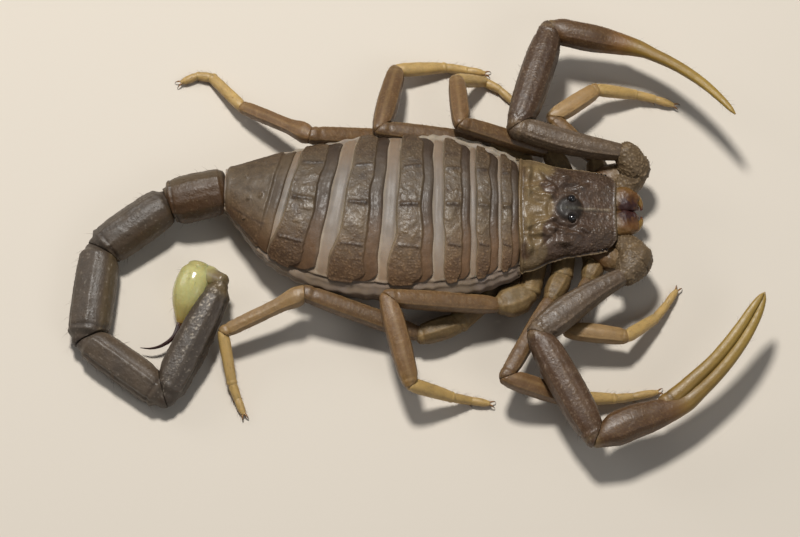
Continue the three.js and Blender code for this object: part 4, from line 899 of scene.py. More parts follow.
def tail_pieces():
    dirs = [unit(TAIL_JOINTS[i + 1] - TAIL_JOINTS[i]) for i in range(5)]
    for i in range(5):
        d = dirs[i]
        inside = unit([-d[1], d[0], 0])
        up = UPV * math.cos(TAIL_ROLL[i] * D) + inside * math.sin(TAIL_ROLL[i] * D)
        a, b, last = TAIL_WIDTH[i] / 2, TAIL_HEIGHT[i] / 2, i == 4
        if last:
            rows = [[0, 0.86 * a, 0.88 * b], [0.18, a, b], [0.5, a, b], [0.75, 0.90 * a, 0.88 * b], [0.93, 0.72 * a, 0.68 * b], [1, 0.58 * a, 0.55 * b]]
        else:
            rows = [[0, (0.76 if i else 0.90) * a, 0.84 * b], [0.10, (0.90 if i else 0.96) * a, 0.94 * b], [0.26, 0.985 * a, 0.99 * b], [0.5, 1.01 * a, b], [0.78, 0.985 * a, 0.99 * b], [0.91, 0.92 * a, 0.95 * b], [1, 0.80 * a, 0.85 * b]]
        n = int(np.linalg.norm(TAIL_JOINTS[i + 1] - TAIL_JOINTS[i]) / 0.065)
        A, B = profile(rows, n)
        P0, t, phi, L = limb_rings(line(TAIL_JOINTS[i], TAIL_JOINTS[i + 1], n), A, B, up, 168, 2.05, 1.15 if i else 0.3, 1.25 if not last else 0.45, 12)
        N = outward(P0)
        rel = np.abs(turn_to(phi, 90))                          # 0 on the back of the ring, 180 on its underside
        h = np.zeros_like(t)
        body = smooth(t, 0.03, 0.12) * (1 - smooth(t, 0.93, 1.0))
        ridges = [(38, 0.15, 6.0), (88, 0.13, 6.0), (140, 0.14, 6.5), (165, 0.09, 5.0)] if not last else [(52, 0.11, 7.0), (100, 0.05, 8.0), (140, 0.14, 6.5), (180, 0.12, 7.0)]
        for k, (ang, amp, wid) in enumerate(ridges):
            for sgn in (1, -1):
                h = h + keel(t, phi, L, 90 + sgn * ang, amp * (0.55 if ang < 60 else 0.75), wid * (1.5 if ang < 60 else 1.2), 0.23 + 0.02 * k, 0.03, 0.96, 0.7 * k + i) * (0.8 + 0.4 * noise(P0, 0.5, 398 + k))
        # hollows between the ridges, the furrow down the back
        h = h + 0.05 * np.exp(-(rel / 30) ** 2) * body - 0.04 * np.exp(-(rel / 9) ** 2) * body + 0.03 * bell(rel, 62, 14) * body - 0.04 * (bell(rel, 114, 16) + bell(rel, 153, 7)) * body
        g = domes(P0, 0.20, 400 + i, np.clip(0.22 + 0.35 * fbm(P0, 1.0, 405 + i) + 0.3 * bell(rel, 88, 14), 0, 0.7))
        g2 = domes(P0, 0.12, 410 + i, 0.5)
        h = h + (0.026 * g + 0.016 * g2) * body + 0.03 * fbm(P0, 0.9, 415 + i) + 0.014 * fbm(P0, 0.25, 417 + i)
        # raised hind rim with a groove before it, and small spurs where the ridges end
        h = h + 0.07 * bell(t, 0.93, 0.022) - 0.04 * bell(t, 0.885, 0.02) + 0.05 * bell(t, 0.07, 0.02) - 0.15 * smooth(t, 0.945, 1.0) - 0.15 * (1 - smooth(t, 0.0, 0.06)) * (i > 0)
        h = h + 0.10 * bell(t, 0.90, 0.035) * np.exp(-(turn_to(phi, 128) / 7) ** 2) * (not last) + 0.10 * bell(t, 0.90, 0.035) * np.exp(-(turn_to(phi, 52) / 7) ** 2) * (not last)
        P = P0 + N * h[..., None]
        if i:
            P = mitred(P, TAIL_JOINTS[i], dirs[i - 1], dirs[i], 1, groove=0.09, reach=0.26, axis=d)
        else:
            P = mitred(P, np.array([-14.18, 7.08, 2.95]), [-1, 0, 0], [-1, 0, 0], 1, groove=0.05, axis=d)
        if not last:
            P = mitred(P, TAIL_JOINTS[i + 1], dirs[i], dirs[i + 1], -1, groove=0.07, reach=0.24, axis=d)
        inner = smooth((P - P.mean(1, keepdims=True)) @ inside, 0.25, 1.15)       # side facing into the loop
        col = mix(TAIL_GREY, rgb(112, 101, 90), np.clip(0.5 + 0.5 * fbm(P, 1.2, 420 + i), 0, 1))
        col = mix(col, rgb(112, 88, 58), np.clip((0.85 if i < 2 else 0.35) * inner * (0.7 + 0.3 * noise(P, 1.0, 425)), 0, 1))
        col = mix(col, rgb(90, 88, 90), 0.30 * (1 - inner) * np.clip(0.5 + fbm(P, 0.9, 426), 0, 1) * (i > 0))
        if i == 0:
            col = mix(col, rgb(104, 78, 48), 0.85 * bell(rel, 0, 44))
            col = mix(col, rgb(88, 62, 40), 0.6 * smooth(-turn_to(phi, 90), -20, 60))
            col = mix(col, rgb(120, 112, 100), 0.6 * bell(turn_to(phi, 90), 52, 20))
        if i == 2:
            col = mix(col, TAIL_OLIVE, 0.6 * smooth(inner, 0.55, 1.0))
        if last:
            col = mix(col, rgb(78, 72, 68), 0.6)
            streak = bell(turn_to(phi, 92 - 84), 0, 10) + 0.6 * bell(turn_to(phi, 30), 0, 9)
            if d @ np.array([1, 0, 0]) > 0:
                streak = bell(turn_to(phi, 174), 0, 10) + 0.7 * bell(turn_to(phi, 150), 0, 8)
            dusty = np.clip((0.7 * fbm(P, 0.20, 430) + 0.45 * (noise(P, 0.10, 431) - 0.3)) * 2.6, 0, 1)
            col = mix(col, TAIL_OLIVE, 0.9 * smooth(t, 0.84, 0.98))
            col = mix(col, DUST, np.clip(streak * dusty * (0.40 + 0.60 * smooth(t, 0.35, 0.75)), 0, 0.9))
        ridge_wear = np.clip(sum(np.exp(-((rel - ang) / 4.5) ** 2) for ang, _, _ in ridges), 0, 1) * body
        col = mix(col, rgb(122, 111, 97), 0.18 * ridge_wear)
        col = mix(col, rgb(60, 46, 36), 0.5 * (bell(t, 0.885, 0.016) + smooth(-t, -0.02, 0.03) + smooth(t, 0.99, 1.03)) * (0.3 if last else 1))
        if i in (1, 3):
            col = mix(col, TAIL_OLIVE, 0.5 * (1 - smooth(t, 0.0, 0.09)) * inner)
        col = mix(col, DUST, 0.26 * np.clip((noise(P, 0.16, 433 + i) - 0.62) * 4, 0, 1) * smooth(P[..., 2], 1.6, 2.6))
        col = col * (1 + 0.10 * fbm(P, 0.4, 440 + i))[..., None] * (0.90, 0.80, 0.84, 1.0, 1.0)[i]
        if i == 0:
            col = col * np.array([0.86, 0.76, 0.58])
        s = Shape()
        s.tube(P, col, 0.50 + 0.08 * noise(P, 0.6, 445 + i) - 0.04 * ridge_wear)
        build(f"metasoma_{i + 1}", s, M_TAIL, [f"metasoma_{i + 1}"], "tail_ring")
        add_hairs(P, N, t, phi, i, 46, d, 450 + i, (0.3, 0.75))
    # sting bulb with its neck
    d5 = dirs[4]
    v0, v1 = VESICLE["start"], VESICLE["end"]
    dv = unit(v1 - v0)
    n = 120
    tt = np.linspace(0, 1, n)
    r = VESICLE["r"] * station([[0, 0.66], [0.06, 0.82], [0.14, 0.93], [0.30, 1.0], [0.50, 0.975], [0.70, 0.80], [0.86, 0.52], [1, 0.25]], tt)[:, 0]
    P, t, phi, L = limb_rings(line(v0, v1, n), r, r * 0.98, UPV, 120, 2.0, 0.52, 0.12, 10)
    N = outward(P)
    dents = domes(P, 0.75, 460, 0.28, 0.25, 0.40)
    h = 0.02 * fbm(P, 0.8, 461) - 0.018 * dents - 0.015 * sum(bell(turn_to(phi, q), 0, 5) for q in (35, 75, 118, 160)) * smooth(t, 0.1, 0.3) * (1 - smooth(t, 0.75, 0.95))
    P = P + N * h[..., None]
    col = mix(BULB, BULB_WARM, np.clip(smooth(t, 0.45, 1.0) + 0.2 * noise(P, 0.9, 462), 0, 1))
    col = mix(col, rgb(150, 138, 88), 0.45 * (1 - smooth(t, -0.05, 0.12)))
    col = mix(col, rgb(150, 116, 60), 0.6 * smooth(t, 0.90, 1.02))
    s = Shape()
    s.tube(P, col, 0.20 + 0.05 * noise(P, 0.7, 463))
    add_hairs(P, N, t, phi, 5, 26, dv, 465, (0.3, 0.9))
    end = TAIL_JOINTS[5]
    pts = [end + d5 * 0.30, np.array(NECK[0]), np.array(NECK[1]), v0 + dv * 0.95]
    C = curve(pts, [0, 0.35, 0.65, 1], 50)
    w = station([[0, 0.60], [0.3, 0.72], [0.6, 0.92], [1, 1.12]], np.linspace(0, 1, 50))[:, 0]
    P, t, phi, L = limb_rings(C, w, w * 1.02, UPV, 72, 2.0, 0.25, 0.1, 6)
    P = P + outward(P) * (0.03 * fbm(P, 0.4, 466))[..., None]
    col = mix(rgb(116, 100, 72), mix(BULB, BULB_WARM, 0.15), smooth(t + 0.16 * fbm(P, 0.5, 467), 0.12, 0.60))
    s.tube(P, col, 0.40)
    # low tubercle under the root of the sting
    dome(s, v1 - dv * 0.55 + np.array([0.22, -0.1, -0.42]), unit([0.5, -0.5, -0.6]), 0.16, 0.14, BULB_WARM, 0.3)
    build("telson_vesicle", s, M_VESICLE, ["telson_vesicle"], "vesicle")
    s = Shape()
    C = curve([v1 - dv * 0.35] + STING, [0, 0.12, 0.38, 0.62, 0.82, 1.0], 110)
    w = station([[0, 0.34], [0.10, 0.30], [0.35, 0.20], [0.62, 0.14], [0.85, 0.08], [1, 0.025]], np.linspace(0, 1, 110))[:, 0]
    P, t, phi, L = limb_rings(C, w, w, UPV, 40, 2.0, 0.05, 0.02, 4)
    col = mix(rgb(120, 84, 40), rgb(46, 22, 16), smooth(t, 0.04, 0.22))
    s.tube(P, col, 0.22)
    build("aculeus", s, M_STING, ["aculeus"], "sting")


# ------------------------------------------------------------------ pincers
PINCER_WIDTH = dict(trochanter=2.50, femur=1.92, patella=2.65, hand=2.35)
PINCER = {
    "left": dict(hip=[19.00, 8.38, 3.39], len=[1.85, 9.11, 9.48, 6.46, 11.34], turn=[[115, 40.5], [167.8, 6.4], [72.8, -6.6], [-9.1, -7.8], [-40.8, 14.0]], bow=1.35, open=0.03, femurBow=0.3, tilt=112, spread=0.84, tall=0.80, slim=0.92, palm=0.90),
    "right": dict(hip=[18.95, 1.17, 3.82], len=[1.85, 9.11, 9.48, 6.52, 11.91], turn=[[-112.1, 14.1], [-143.7, 4.5], [-61.6, -6.4], [24.4, -2.6], [49.9, 8.3]], bow=1.35, open=0.0, femurBow=-0.30, tilt=0, spread=0.90, tall=0.90, slim=1.10, palm=1.12),
}


def arm_skin(P, N, t, phi, L, ridges, seed, rough0=0.42, gran=0.5, amp=1.0):
    """Relief for an arm segment: granular ridges, hollows between them, fine granules."""
    h = 0.025 * fbm(P, 0.9, seed)
    for k, (ang, a, w) in enumerate(ridges):
        h = h + keel(t, phi, L, ang, a * amp * 0.62, w, 0.17, 0.05, 0.94, k)
        h = h - 0.15 * a * amp * (np.exp(-((np.abs(turn_to(phi, ang)) - 2.2 * w) / w) ** 2)) * smooth(t, 0.05, 0.15) * (1 - smooth(t, 0.85, 0.95))
    on_ridge = np.clip(sum(np.exp(-(turn_to(phi, ang) / (0.8 * w)) ** 2) for ang, _, w in ridges), 0, 1)
    g = domes(P, 0.15, seed + 1, np.clip(gran * 0.4 + 0.45 * on_ridge, 0, 1))
    g2 = domes(P, 0.09, seed + 2, gran)
    return h + 0.028 * g + 0.018 * g2 + 0.012 * fbm(P, 0.22, seed + 3), g


def pincer_pieces(side):
    Q = PINCER[side]
    sgn = 1 if side == "left" else -1
    dirs = [heading(*p) for p in Q["turn"]]
    J = [np.array(Q["hip"])]
    for l, d in zip(Q["len"], dirs):
        J.append(J[-1] + d * l)
    W = PINCER_WIDTH
    tag = 10 if side == "left" else 20
    # trochanter: a short knobbly joint, dense with granules
    C = curve([[17.1, J[0][1] * 0.4 + 4.8 * 0.6, 2.6], J[0] - [0.1, 0, 0.0], lerp(J[0], J[1], 0.55), J[1] + unit(dirs[0] + dirs[1]) * 0.45], [0, 0.45, 0.75, 1], 74)
    a = station([[0, 0.85], [0.35, 1.12], [0.62, 1.25 if side == "left" else 1.36], [0.85, 1.10 if side == "left" else 1.20], [1, 0.86 if side == "left" else 0.80]], np.linspace(0, 1, 74))[:, 0]
    P, t, phi, L = limb_rings(C, a, a * 0.98, UPV, 120, 2.2, 0.2, 0.5, 9)
    N = outward(P)
    g = domes(P, 0.21, 500 + tag, 0.85)
    g2 = domes(P, 0.12, 501 + tag, 0.7)
    h = 0.080 * g ** 0.8 + 0.028 * g2 + 0.07 * fbm(P, 0.8, 502 + tag) + 0.08 * np.exp(-(turn_to(phi, 70) / 9) ** 2) * bell(t, 0.6, 0.25) + 0.07 * np.exp(-(turn_to(phi, 130) / 9) ** 2) * bell(t, 0.6, 0.25)
    h = h - 0.10 * bell(t, 0.44, 0.035)
    P = P + N * h[..., None]
    col = mix(rgb(120, 108, 86), rgb(106, 92, 66), np.clip(0.5 + 0.7 * fbm(P, 0.8, 503 + tag), 0, 1)) * (1.22 if side == "left" else 1.10)
    col = mix(col, rgb(172, 158, 130), 0.52 * g)
    # painted shade between the granules
    col = mix(col, rgb(70, 54, 36), 0.35 * (1 - np.clip(g + g2, 0, 1)))
    col = mix(col, rgb(148, 128, 88), 0.25 * bell(t, 0.44, 0.05))
    s = Shape()
    s.tube(P, col, 0.60)
    Cr = curve([[14.6, 4.8 + sgn * 1.9, 2.5], [16.1, 4.8 + sgn * 2.75, 2.7], [17.2, lerp(4.8 + sgn * 2.7, J[0][1], 0.75), 2.8], lerp(np.array([17.4, J[0][1], 2.9]), J[0], 0.75)], [0, 0.4, 0.75, 1], 60)
    Ar, Br = profile([[0, 0.9, 0.8], [0.45, 1.15, 0.92], [0.8, 1.18, 0.92], [1, 0.85, 0.85]], 60)
    Pr, tr, phr, Lr = limb_rings(Cr, Ar, Br, UPV, 90, 2.5, 0.3, 0.4, 8)
    gr_ = domes(Pr, 0.19, 507 + tag, 0.75) * smooth(tr, 0.5, 0.8)
    hr = 0.06 * fbm(Pr, 0.7, 506 + tag) + 0.06 * gr_
    Pr = Pr + outward(Pr) * hr[..., None]
    cr = mix(rgb(126, 98, 58), rgb(104, 76, 42), np.clip(0.5 + 0.8 * fbm(Pr, 0.7, 508 + tag), 0, 1))
    cr = mix(cr, rgb(132, 116, 84), 0.7 * smooth(tr, 0.60, 0.85))
    cr = mix(cr, rgb(172, 156, 122), 0.45 * gr_)
    s.tube(Pr, cr, 0.52)
    build(f"pedipalp_{side}_trochanter", s, M_ARM, [f"pedipalp_{side}_trochanter"], "arm")
    add_hairs(P, N, t, phi, tag, 30, dirs[0], 505 + tag, (0.2, 0.5), lambda tt, ff: tt > 0.45)

    def segment(name, p, q, rows, before, own, after, cap0, cap1, ridges, col_fn, seed, bow=0.0, power=2.5, amp=1.0, count=60, tile=0, first_plane=None):
        L0 = np.linalg.norm(q - p)
        n = int(L0 / 0.066)
        A, B = profile(rows, n)
        C = line(p, q, n)
        sd = unit(np.cross(UPV, own))
        C = C + sd * (bow * np.sin(math.pi * np.linspace(0, 1, n)))[:, None]
        P0, t, phi, L = limb_rings(C, A, B, UPV, 120, power, cap0, cap1, 10)
        N = outward(P0)
        h, g = arm_skin(P0, N, t, phi, L, ridges, seed, amp=amp)
        h = h + 0.04 * bell(t, 0.965, 0.018) - 0.035 * bell(t, 0.925, 0.018)
        knob = smooth(t, 0.86, 0.94) + (1 - smooth(t, 0.04, 0.10)) * (first_plane is None)
        h = h + 0.05 * domes(P0, 0.24, seed + 8, np.clip(0.8 * knob, 0, 0.8)) + 0.05 * fbm(P0, 0.5, seed + 9) * knob
        P = P0 + N * h[..., None]
        if first_plane is not None:
            P = mitred(P, first_plane, own, own, 1, groove=0.05, axis=own)
        else:
            P = mitred(P, p, before, own, 1, groove=0.08, axis=own)
        if after is not None:
            P = mitred(P, q, own, after, -1, groove=0.05, axis=own)
        col = col_fn(P, t, phi)
        wear = np.clip(sum(np.exp(-(turn_to(phi, ang) / (w * 0.7)) ** 2) for ang, _, w in ridges), 0, 1) * smooth(t, 0.05, 0.12) * (1 - smooth(t, 0.88, 0.96))
        col = mix(col, rgb(150, 136, 114), 0.14 * wear * (0.5 + noise(P, 0.3, seed + 4)))
        col = mix(col, rgb(172, 160, 142), 0.50 * g)
        col = mix(col, rgb(172, 160, 142), 0.30 * domes(P, 0.11, seed + 12, 0.35))
        col = mix(col, rgb(60, 44, 34), 0.30 * np.clip(fbm(P, 0.7, seed + 11) + 0.1, 0, 1))
        col = mix(col, rgb(140, 124, 96), 0.45 * (smooth(-t, -0.035, 0.01) + bell(t, 0.99, 0.02)))
        col = col * (1 + 0.07 * fbm(P, 0.35, seed + 5))[..., None]
        s = Shape()
        s.tube(P, col, 0.46 + 0.10 * noise(P, 0.35, seed + 6))
        build(name, s, M_ARM, [name], "arm")
        add_hairs(P, N, t, phi, tile, count, own, seed + 7, (0.22, 0.6))
        return P

    def femur_col(P, t, phi):
        c = mix(ARM_GREY, rgb(118, 105, 88), np.clip(0.5 + 0.6 * fbm(P, 1.1, 520 + tag), 0, 1))
        # painted shade: the underside is darkened to brown
        return mix(c, ARM_BROWN, 0.8 * smooth(np.abs(turn_to(phi, 90)), 70, 130)) * (0.9 if side == "left" else 0.83)

    def patella_col(P, t, phi):
        c = mix(rgb(100, 84, 70), ARM_BROWN, np.clip(0.55 + 0.6 * fbm(P, 1.3, 521 + tag), 0, 1))
        # painted sheen: a lighter stripe along the top
        c = mix(c, rgb(122, 108, 96), 0.35 * np.exp(-(turn_to(phi, 78) / 16) ** 2))
        # painted shade: the underside is darkened
        c = mix(c, rgb(76, 56, 42), 0.7 * smooth(np.abs(turn_to(phi, 90)), 70, 130))
        return c * np.array([0.93, 0.86, 0.76]) * (0.78 if side == "left" else 1.02)

    wf, wp = W["femur"] / 2, W["patella"] / 2
    segment(f"pedipalp_{side}_femur", J[1], J[2], [[0, 0.62, 0.68], [0.10, 0.70, 0.76], [0.24, 0.82, 0.88], [0.50, wf * (1.0 if side == "left" else 1.13), 0.98], [0.75, wf * (1.03 if side == "left" else 1.27), 0.99], [0.90, wf * (1.0 if side == "left" else 1.18), 0.97], [1, 0.94, 0.90]], dirs[0], dirs[1], dirs[2], 0.1, 0.80,
            [(48, 0.085, 7), (132, 0.085, 7), (0, 0.05, 7), (180, 0.05, 7), (-50, 0.07, 8), (-130, 0.07, 8)], femur_col, 530 + tag, bow=Q["femurBow"], tile=tag + 1, first_plane=J[1] + dirs[1] * 0.50)
    segment(f"pedipalp_{side}_patella", J[2], J[3], [[0, 0.95, 0.95], [0.12, 1.15, 1.15], [0.4, wp, 1.25], [0.75, wp * 0.97, 1.22], [0.93, 1.05, 1.05], [1, 0.90, 0.92]], dirs[1], dirs[2], dirs[3], 0.80, 0.72,
            [(88, 0.055, 6), (40, 0.07, 6.5), (138, 0.07, 6.5), (-8, 0.05, 7), (188, 0.05, 7), (-55, 0.05, 7), (-125, 0.05, 7)], patella_col, 540 + tag, tile=tag + 2)

    # hand running out into the fixed finger, as one shell
    up = UPV
    out = unit(np.cross(up, dirs[4])) * sgn
    tip, J3, J4 = J[5], J[3], J[4]
    side3 = unit(np.cross(up, dirs[3]))

    # on the right the fingers lie side by side; the left hand is turned, so that they lie one over the other
    tilt = Q["tilt"] * D
    apart, step = out * math.cos(tilt) + up * math.sin(tilt), 0.12 * math.cos(tilt)
    bite = lerp(0.92, Q["tall"], math.sin(tilt) ** 2)

    def arc(t, off, lift):
        t = np.asarray(t, float)[..., None]
        off = np.asarray(off, float)[..., None]
        return J4 * (1 - t) + tip * t + out * (Q["bow"] * 4 * t * (1 - t) * 0.62) + apart * off + up * lift

    def gap_at(t):
        return Q["open"] * np.sin(math.pi * np.clip(t, 0, 1)) - 0.01

    FAT = [[q, v * Q["slim"]] for q, v in ([-0.05, 0.66], [0.15, 0.58], [0.36, 0.49], [0.58, 0.44], [0.8, 0.36], [0.94, 0.24], [1.0, 0.12])]
    hp = [J3, lerp(J3, J4, 0.25), lerp(J3, J4, 0.5), lerp(J3, J4, 0.74) + out * 0.16 * math.cos(tilt) ** 2]
    ft = np.array([0.08, 0.20, 0.36, 0.52, 0.68, 0.84, 0.95, 1.0])
    ff = station(FAT, ft)[:, 0]
    near_root = 0.72 if side == "right" else 0.40                # the fingers run together at their roots
    close = lambda q: lerp(near_root, 1.0, smooth(np.asarray(q, float), 0.02, 0.30))
    fp = arc(ft, (ff * Q["spread"] + gap_at(ft)) * close(ft) - 0.08 * smooth(ft, 0.9, 1.0), -step)
    pts = np.concatenate([hp, fp])
    cum = np.concatenate([[0], np.cumsum(np.linalg.norm(np.diff(pts, axis=0), axis=1))])
    Ltot = cum[-1]
    cum = cum / Ltot
    tj = np.interp(0, [0, 1], [cum[3], cum[4]]) + (cum[4] - cum[3]) * 0.6       # about where the fingers start
    n = int(Ltot / 0.07)
    C = curve(pts, cum, n)
    hw = W["hand"] / 2 * Q["palm"]
    rows = [[0, 0.80, 0.82], [cum[1] * 0.5, 1.05, 1.04], [cum[1], hw * 0.985, 1.13], [cum[2], hw, 1.18], [cum[3], 1.06 * Q["palm"], 1.00], [cum[4], 0.72 * Q["slim"], 0.66]]
    rows += [[c, f * 0.98, f * Q["tall"]] for c, f in zip(cum[5:], ff[1:])]
    rows[-1][1:] = [0.06, 0.08]
    A, B = profile(rows, n)
    P0, t, phi, L = limb_rings(C, np.maximum(A, 0.05), np.maximum(B, 0.06), up, 104, 2.45, 0.66, 0.04, 9)
    N = outward(P0)
    palm = 1 - smooth(t, tj - 0.05, tj + 0.06)
    h = 0.025 * fbm(P0, 0.9, 560 + tag) * (0.4 + 0.6 * palm)
    for ang, amp, w in ((90, 0.035, 6), (52, 0.04, 6), (128, 0.04, 6), (10, 0.03, 7), (170, 0.03, 7), (-60, 0.035, 7), (-120, 0.035, 7)):
        h = h + keel(t, phi, L, ang, amp, w, 0.22, 0.03, tj * 0.92) 
    fin_t = np.clip((t - tj) / (1 - tj), 0, 1)
    h = h - 0.010 * (np.exp(-(turn_to(phi, 70) / 11) ** 2) + np.exp(-(turn_to(phi, 112) / 11) ** 2)) * smooth(fin_t, 0.02, 0.1) * (1 - smooth(fin_t, 0.7, 0.95)) * (1 - palm)
    g = domes(P0, 0.15, 561 + tag, 0.25)
    gp = domes(P0, 0.13, 566 + tag, 0.6 * palm)
    h = h + 0.008 * g + 0.010 * domes(P0, 0.10, 562 + tag, 0.5) + 0.022 * gp
    P = P0 + N * h[..., None]
    P = mitred(P, J3, dirs[2], dirs[3], 1, groove=0.08, axis=dirs[3])
    dark_end = tj + (0.02 if side == "right" else -0.03) + 0.05 * np.cos((phi - 90) * D)
    fade = smooth(t, dark_end - (0.17 if side == "left" else 0.14), dark_end + 0.06)
    col = mix(mix(rgb(76, 52, 31), rgb(92, 66, 42), np.clip(0.5 + 0.6 * fbm(P, 1.0, 563 + tag), 0, 1)), mix(rgb(136, 98, 50), FINGER_OLIVE, smooth(t, tj - 0.04, tj + 0.08)), fade)
    col = mix(col, FINGER_YELLOW, smooth(t, tj + 0.10, 0.85) * 0.8)
    # painted shade: the underside of the palm is darkened
    col = mix(col, rgb(70, 48, 30), 0.45 * palm * smooth(np.abs(turn_to(phi, 90)), 75, 130))
    inner_ang = math.degrees(math.atan2(-math.sin(tilt), -math.cos(tilt) * sgn))   # the side that faces the movable finger
    near = np.exp(-(turn_to(phi, inner_ang) / 13) ** 2) * smooth(fin_t, 0.0, 0.08)
    col = mix(col, rgb(96, 64, 32), 0.7 * near)
    col = mix(col, rgb(140, 124, 96), 0.5 * smooth(-t, -0.015, 0.01))
    s = Shape()
    col = mix(col, rgb(166, 140, 104), 0.30 * gp * palm)
    col = mix(col, rgb(98, 82, 66), 0.28 * palm * np.exp(-(turn_to(phi, 80) / 30) ** 2) * (1 - smooth(t, tj - 0.12, tj)))
    s.tube(P, col, 0.48 + 0.08 * noise(P, 0.4, 564 + tag))
    add_hairs(P, N, t, phi, tag + 3, 90, dirs[4], 565 + tag, (0.2, 0.6), None, 0.7, 0.006)
    # rows of small dark teeth on the biting edge
    for k in range(46):
        tk = 0.10 + 0.84 * k / 45
        f = float(station(FAT, tk)[0])
        c = arc(np.array(tk), np.array(f * Q["spread"] + gap_at(tk)), -step) - apart * f * (bite - 0.03)
        big = k % 6 == 0
        dome(s, c, -apart, 0.055 + 0.022 * big, 0.06 + 0.03 * big, rgb(60, 34, 20), 0.25, m=7, k=3)
    build(f"pedipalp_{side}_hand_fixed_finger", s, M_HAND, [f"pedipalp_{side}_hand_fixed_finger"], "hand")

    # movable finger, hinged on the inner side of the hand
    mt = np.array([-0.045 if side == "right" else -0.10, 0.02, 0.10, 0.24, 0.40, 0.56, 0.72, 0.87, 0.96, 1.0])
    mf = station(FAT, mt)[:, 0]
    pts = arc(mt * 0.985, -(mf * Q["spread"] + gap_at(mt)) * close(mt) + 0.08 * smooth(mt, 0.9, 1.0), step)
    cum = np.concatenate([[0], np.cumsum(np.linalg.norm(np.diff(pts, axis=0), axis=1))])
    Lm = cum[-1]
    cum = cum / Lm
    n = int(Lm / 0.07)
    C = curve(pts, cum, n)
    rows = [[c, f * 0.98, f * Q["tall"]] for c, f in zip(cum, mf)]
    rows[0][1:] = [0.54, 0.52]
    rows[-1][1:] = [0.06, 0.08]
    A, B = profile(rows, n)
    P0, t, phi, L = limb_rings(C, np.maximum(A, 0.05), np.maximum(B, 0.06), up, 84, 2.5, 0.35, 0.04, 8)
    N = outward(P0)
    h = 0.02 * fbm(P0, 0.7, 570 + tag) - 0.010 * (np.exp(-(turn_to(phi, 70) / 11) ** 2) + np.exp(-(turn_to(phi, 112) / 11) ** 2)) * smooth(t, 0.06, 0.14) * (1 - smooth(t, 0.75, 0.95))
    h = h + 0.05 * bell(t, 0.045, 0.02) - 0.04 * bell(t, 0.085, 0.015) + 0.008 * domes(P0, 0.10, 571 + tag, 0.5)
    P = P0 + N * h[..., None]
    near = np.exp(-(turn_to(phi, (inner_ang + 180) % 360) / 13) ** 2) * smooth(t, 0.03, 0.1)
    col = mix(rgb(120, 94, 56), FINGER_OLIVE, smooth(t, 0.0, 0.10))
    col = mix(col, FINGER_YELLOW, smooth(t, 0.12, 0.8) * 0.8)
    col = mix(col, rgb(84, 54, 26), 0.75 * near)
    col = mix(col, rgb(70, 48, 30), 0.5 * bell(t, 0.085, 0.02))
    s = Shape()
    s.tube(P, col, 0.46 + 0.08 * noise(P, 0.4, 572 + tag))
    for k in range(46):
        tk = 0.10 + 0.84 * k / 45
        f = float(station(FAT, tk)[0])
        c = arc(np.array(tk * 0.985), np.array(-(f * Q["spread"] + gap_at(tk))), step) + apart * f * (bite - 0.03)
        big = k % 6 == 3
        dome(s, c, apart, 0.055 + 0.022 * big, 0.06 + 0.03 * big, rgb(60, 34, 20), 0.25, m=7, k=3)
    add_hairs(P, N, t, phi, tag + 4, 60, dirs[4], 575 + tag, (0.2, 0.5), None, 0.7, 0.006)
    build(f"pedipalp_{side}_movable_finger", s, M_HAND, [f"pedipalp_{side}_movable_finger"], "finger")


# ------------------------------------------------------------------ legs
LEGS = {
    1: dict(len=[1.38, 4.92, 4.66, 3.54, 1.63, 1.66], wid=[1.25, 1.40, 0.98, 0.78]),
    2: dict(len=[2.09, 8.00, 5.38, 4.08, 1.39, 2.17], wid=[1.35, 1.52, 1.02, 0.80]),
    3: dict(len=[2.55, 9.35, 7.14, 4.13, 1.80, 1.54], wid=[1.45, 1.74, 1.05, 0.82]),
    4: dict(len=[3.05, 9.94, 7.24, 4.12, 1.25, 1.44], wid=[1.45, 1.14, 0.90, 0.82]),
}
LEG_POSE = {
    "left_1": ([15.2, 5.4, 2.0], [16.15, 8.61, 2.23], [[101.3, 7.2], [135.1, 6.5], [36.7, -6.8], [3.1, -24.6], [-9.6, -11.6], [-15.9, -7.2]]),
    "right_1": ([15.2, 3.9, 2.0], [15.70, 0.97, 2.24], [[-111.8, 8.9], [-111.0, 5.8], [-5.2, -5.1], [40.0, -25.7], [53.0, -14.4], [57.2, -7.2]]),
    "left_2": ([13.4, 5.5, 2.0], [13.30, 8.80, 2.40], [[122.6, 7.5], [171.0, 24.0], [94.2, -26.0], [26.6, -50.0], [-29.0, -1.0], [-43.1, -5.0]]),
    "right_2": ([13.4, 3.7, 2.0], [12.99, -0.27, 2.45], [[-114.6, 11.0], [-118.0, 8.0], [-12.6, -23.0], [4.3, -14.8], [9.0, -11.3], [13.1, -5.3]]),
    "left_3": ([11.4, 5.6, 2.0], [9.80, 10.15, 2.20], [[152.3, 8.0], [177.2, 12.0], [78.4, -23.4], [9.5, -13.8], [-4.8, -9.0], [-8.5, -7.4]]),
    "right_3": ([11.4, 3.2, 2.0], [10.35, -1.70, 2.54], [[-156.0, 6.3], [-178.5, 15.5], [-74.8, -11.2], [-4.9, -36.6], [1.9, -36.3], [-8.0, -1.0]]),
    "left_4": ([9.9, 7.4, 1.6], [5.05, 11.25, 1.02], [[162.5, 0.5], [-175.2, 18.6], [147.7, -21.7], [130.0, -15.0], [170.0, -11.0], [203.0, -5.0]]),
    "right_4": ([9.9, 1.2, 1.6], [4.55, -3.88, 1.75], [[-160.9, 1.0], [162.9, 11.6], [-155.9, -9.8], [-79.2, -23.7], [-69.5, -19.9], [-68.2, -9.2]]),
}
# how brown the thigh and knee lengths of each leg are: 1 brown, 0 olive-yellow
LEG_DARK = {"left_1": (0.8, 0.0), "right_1": (0.9, 0.15), "left_2": (1.0, 0.75), "right_2": (1.0, 0.8), "left_3": (1.0, 0.95), "right_3": (0.95, 0.6), "left_4": (1.0, 0.75), "right_4": (0.95, 0.25)}


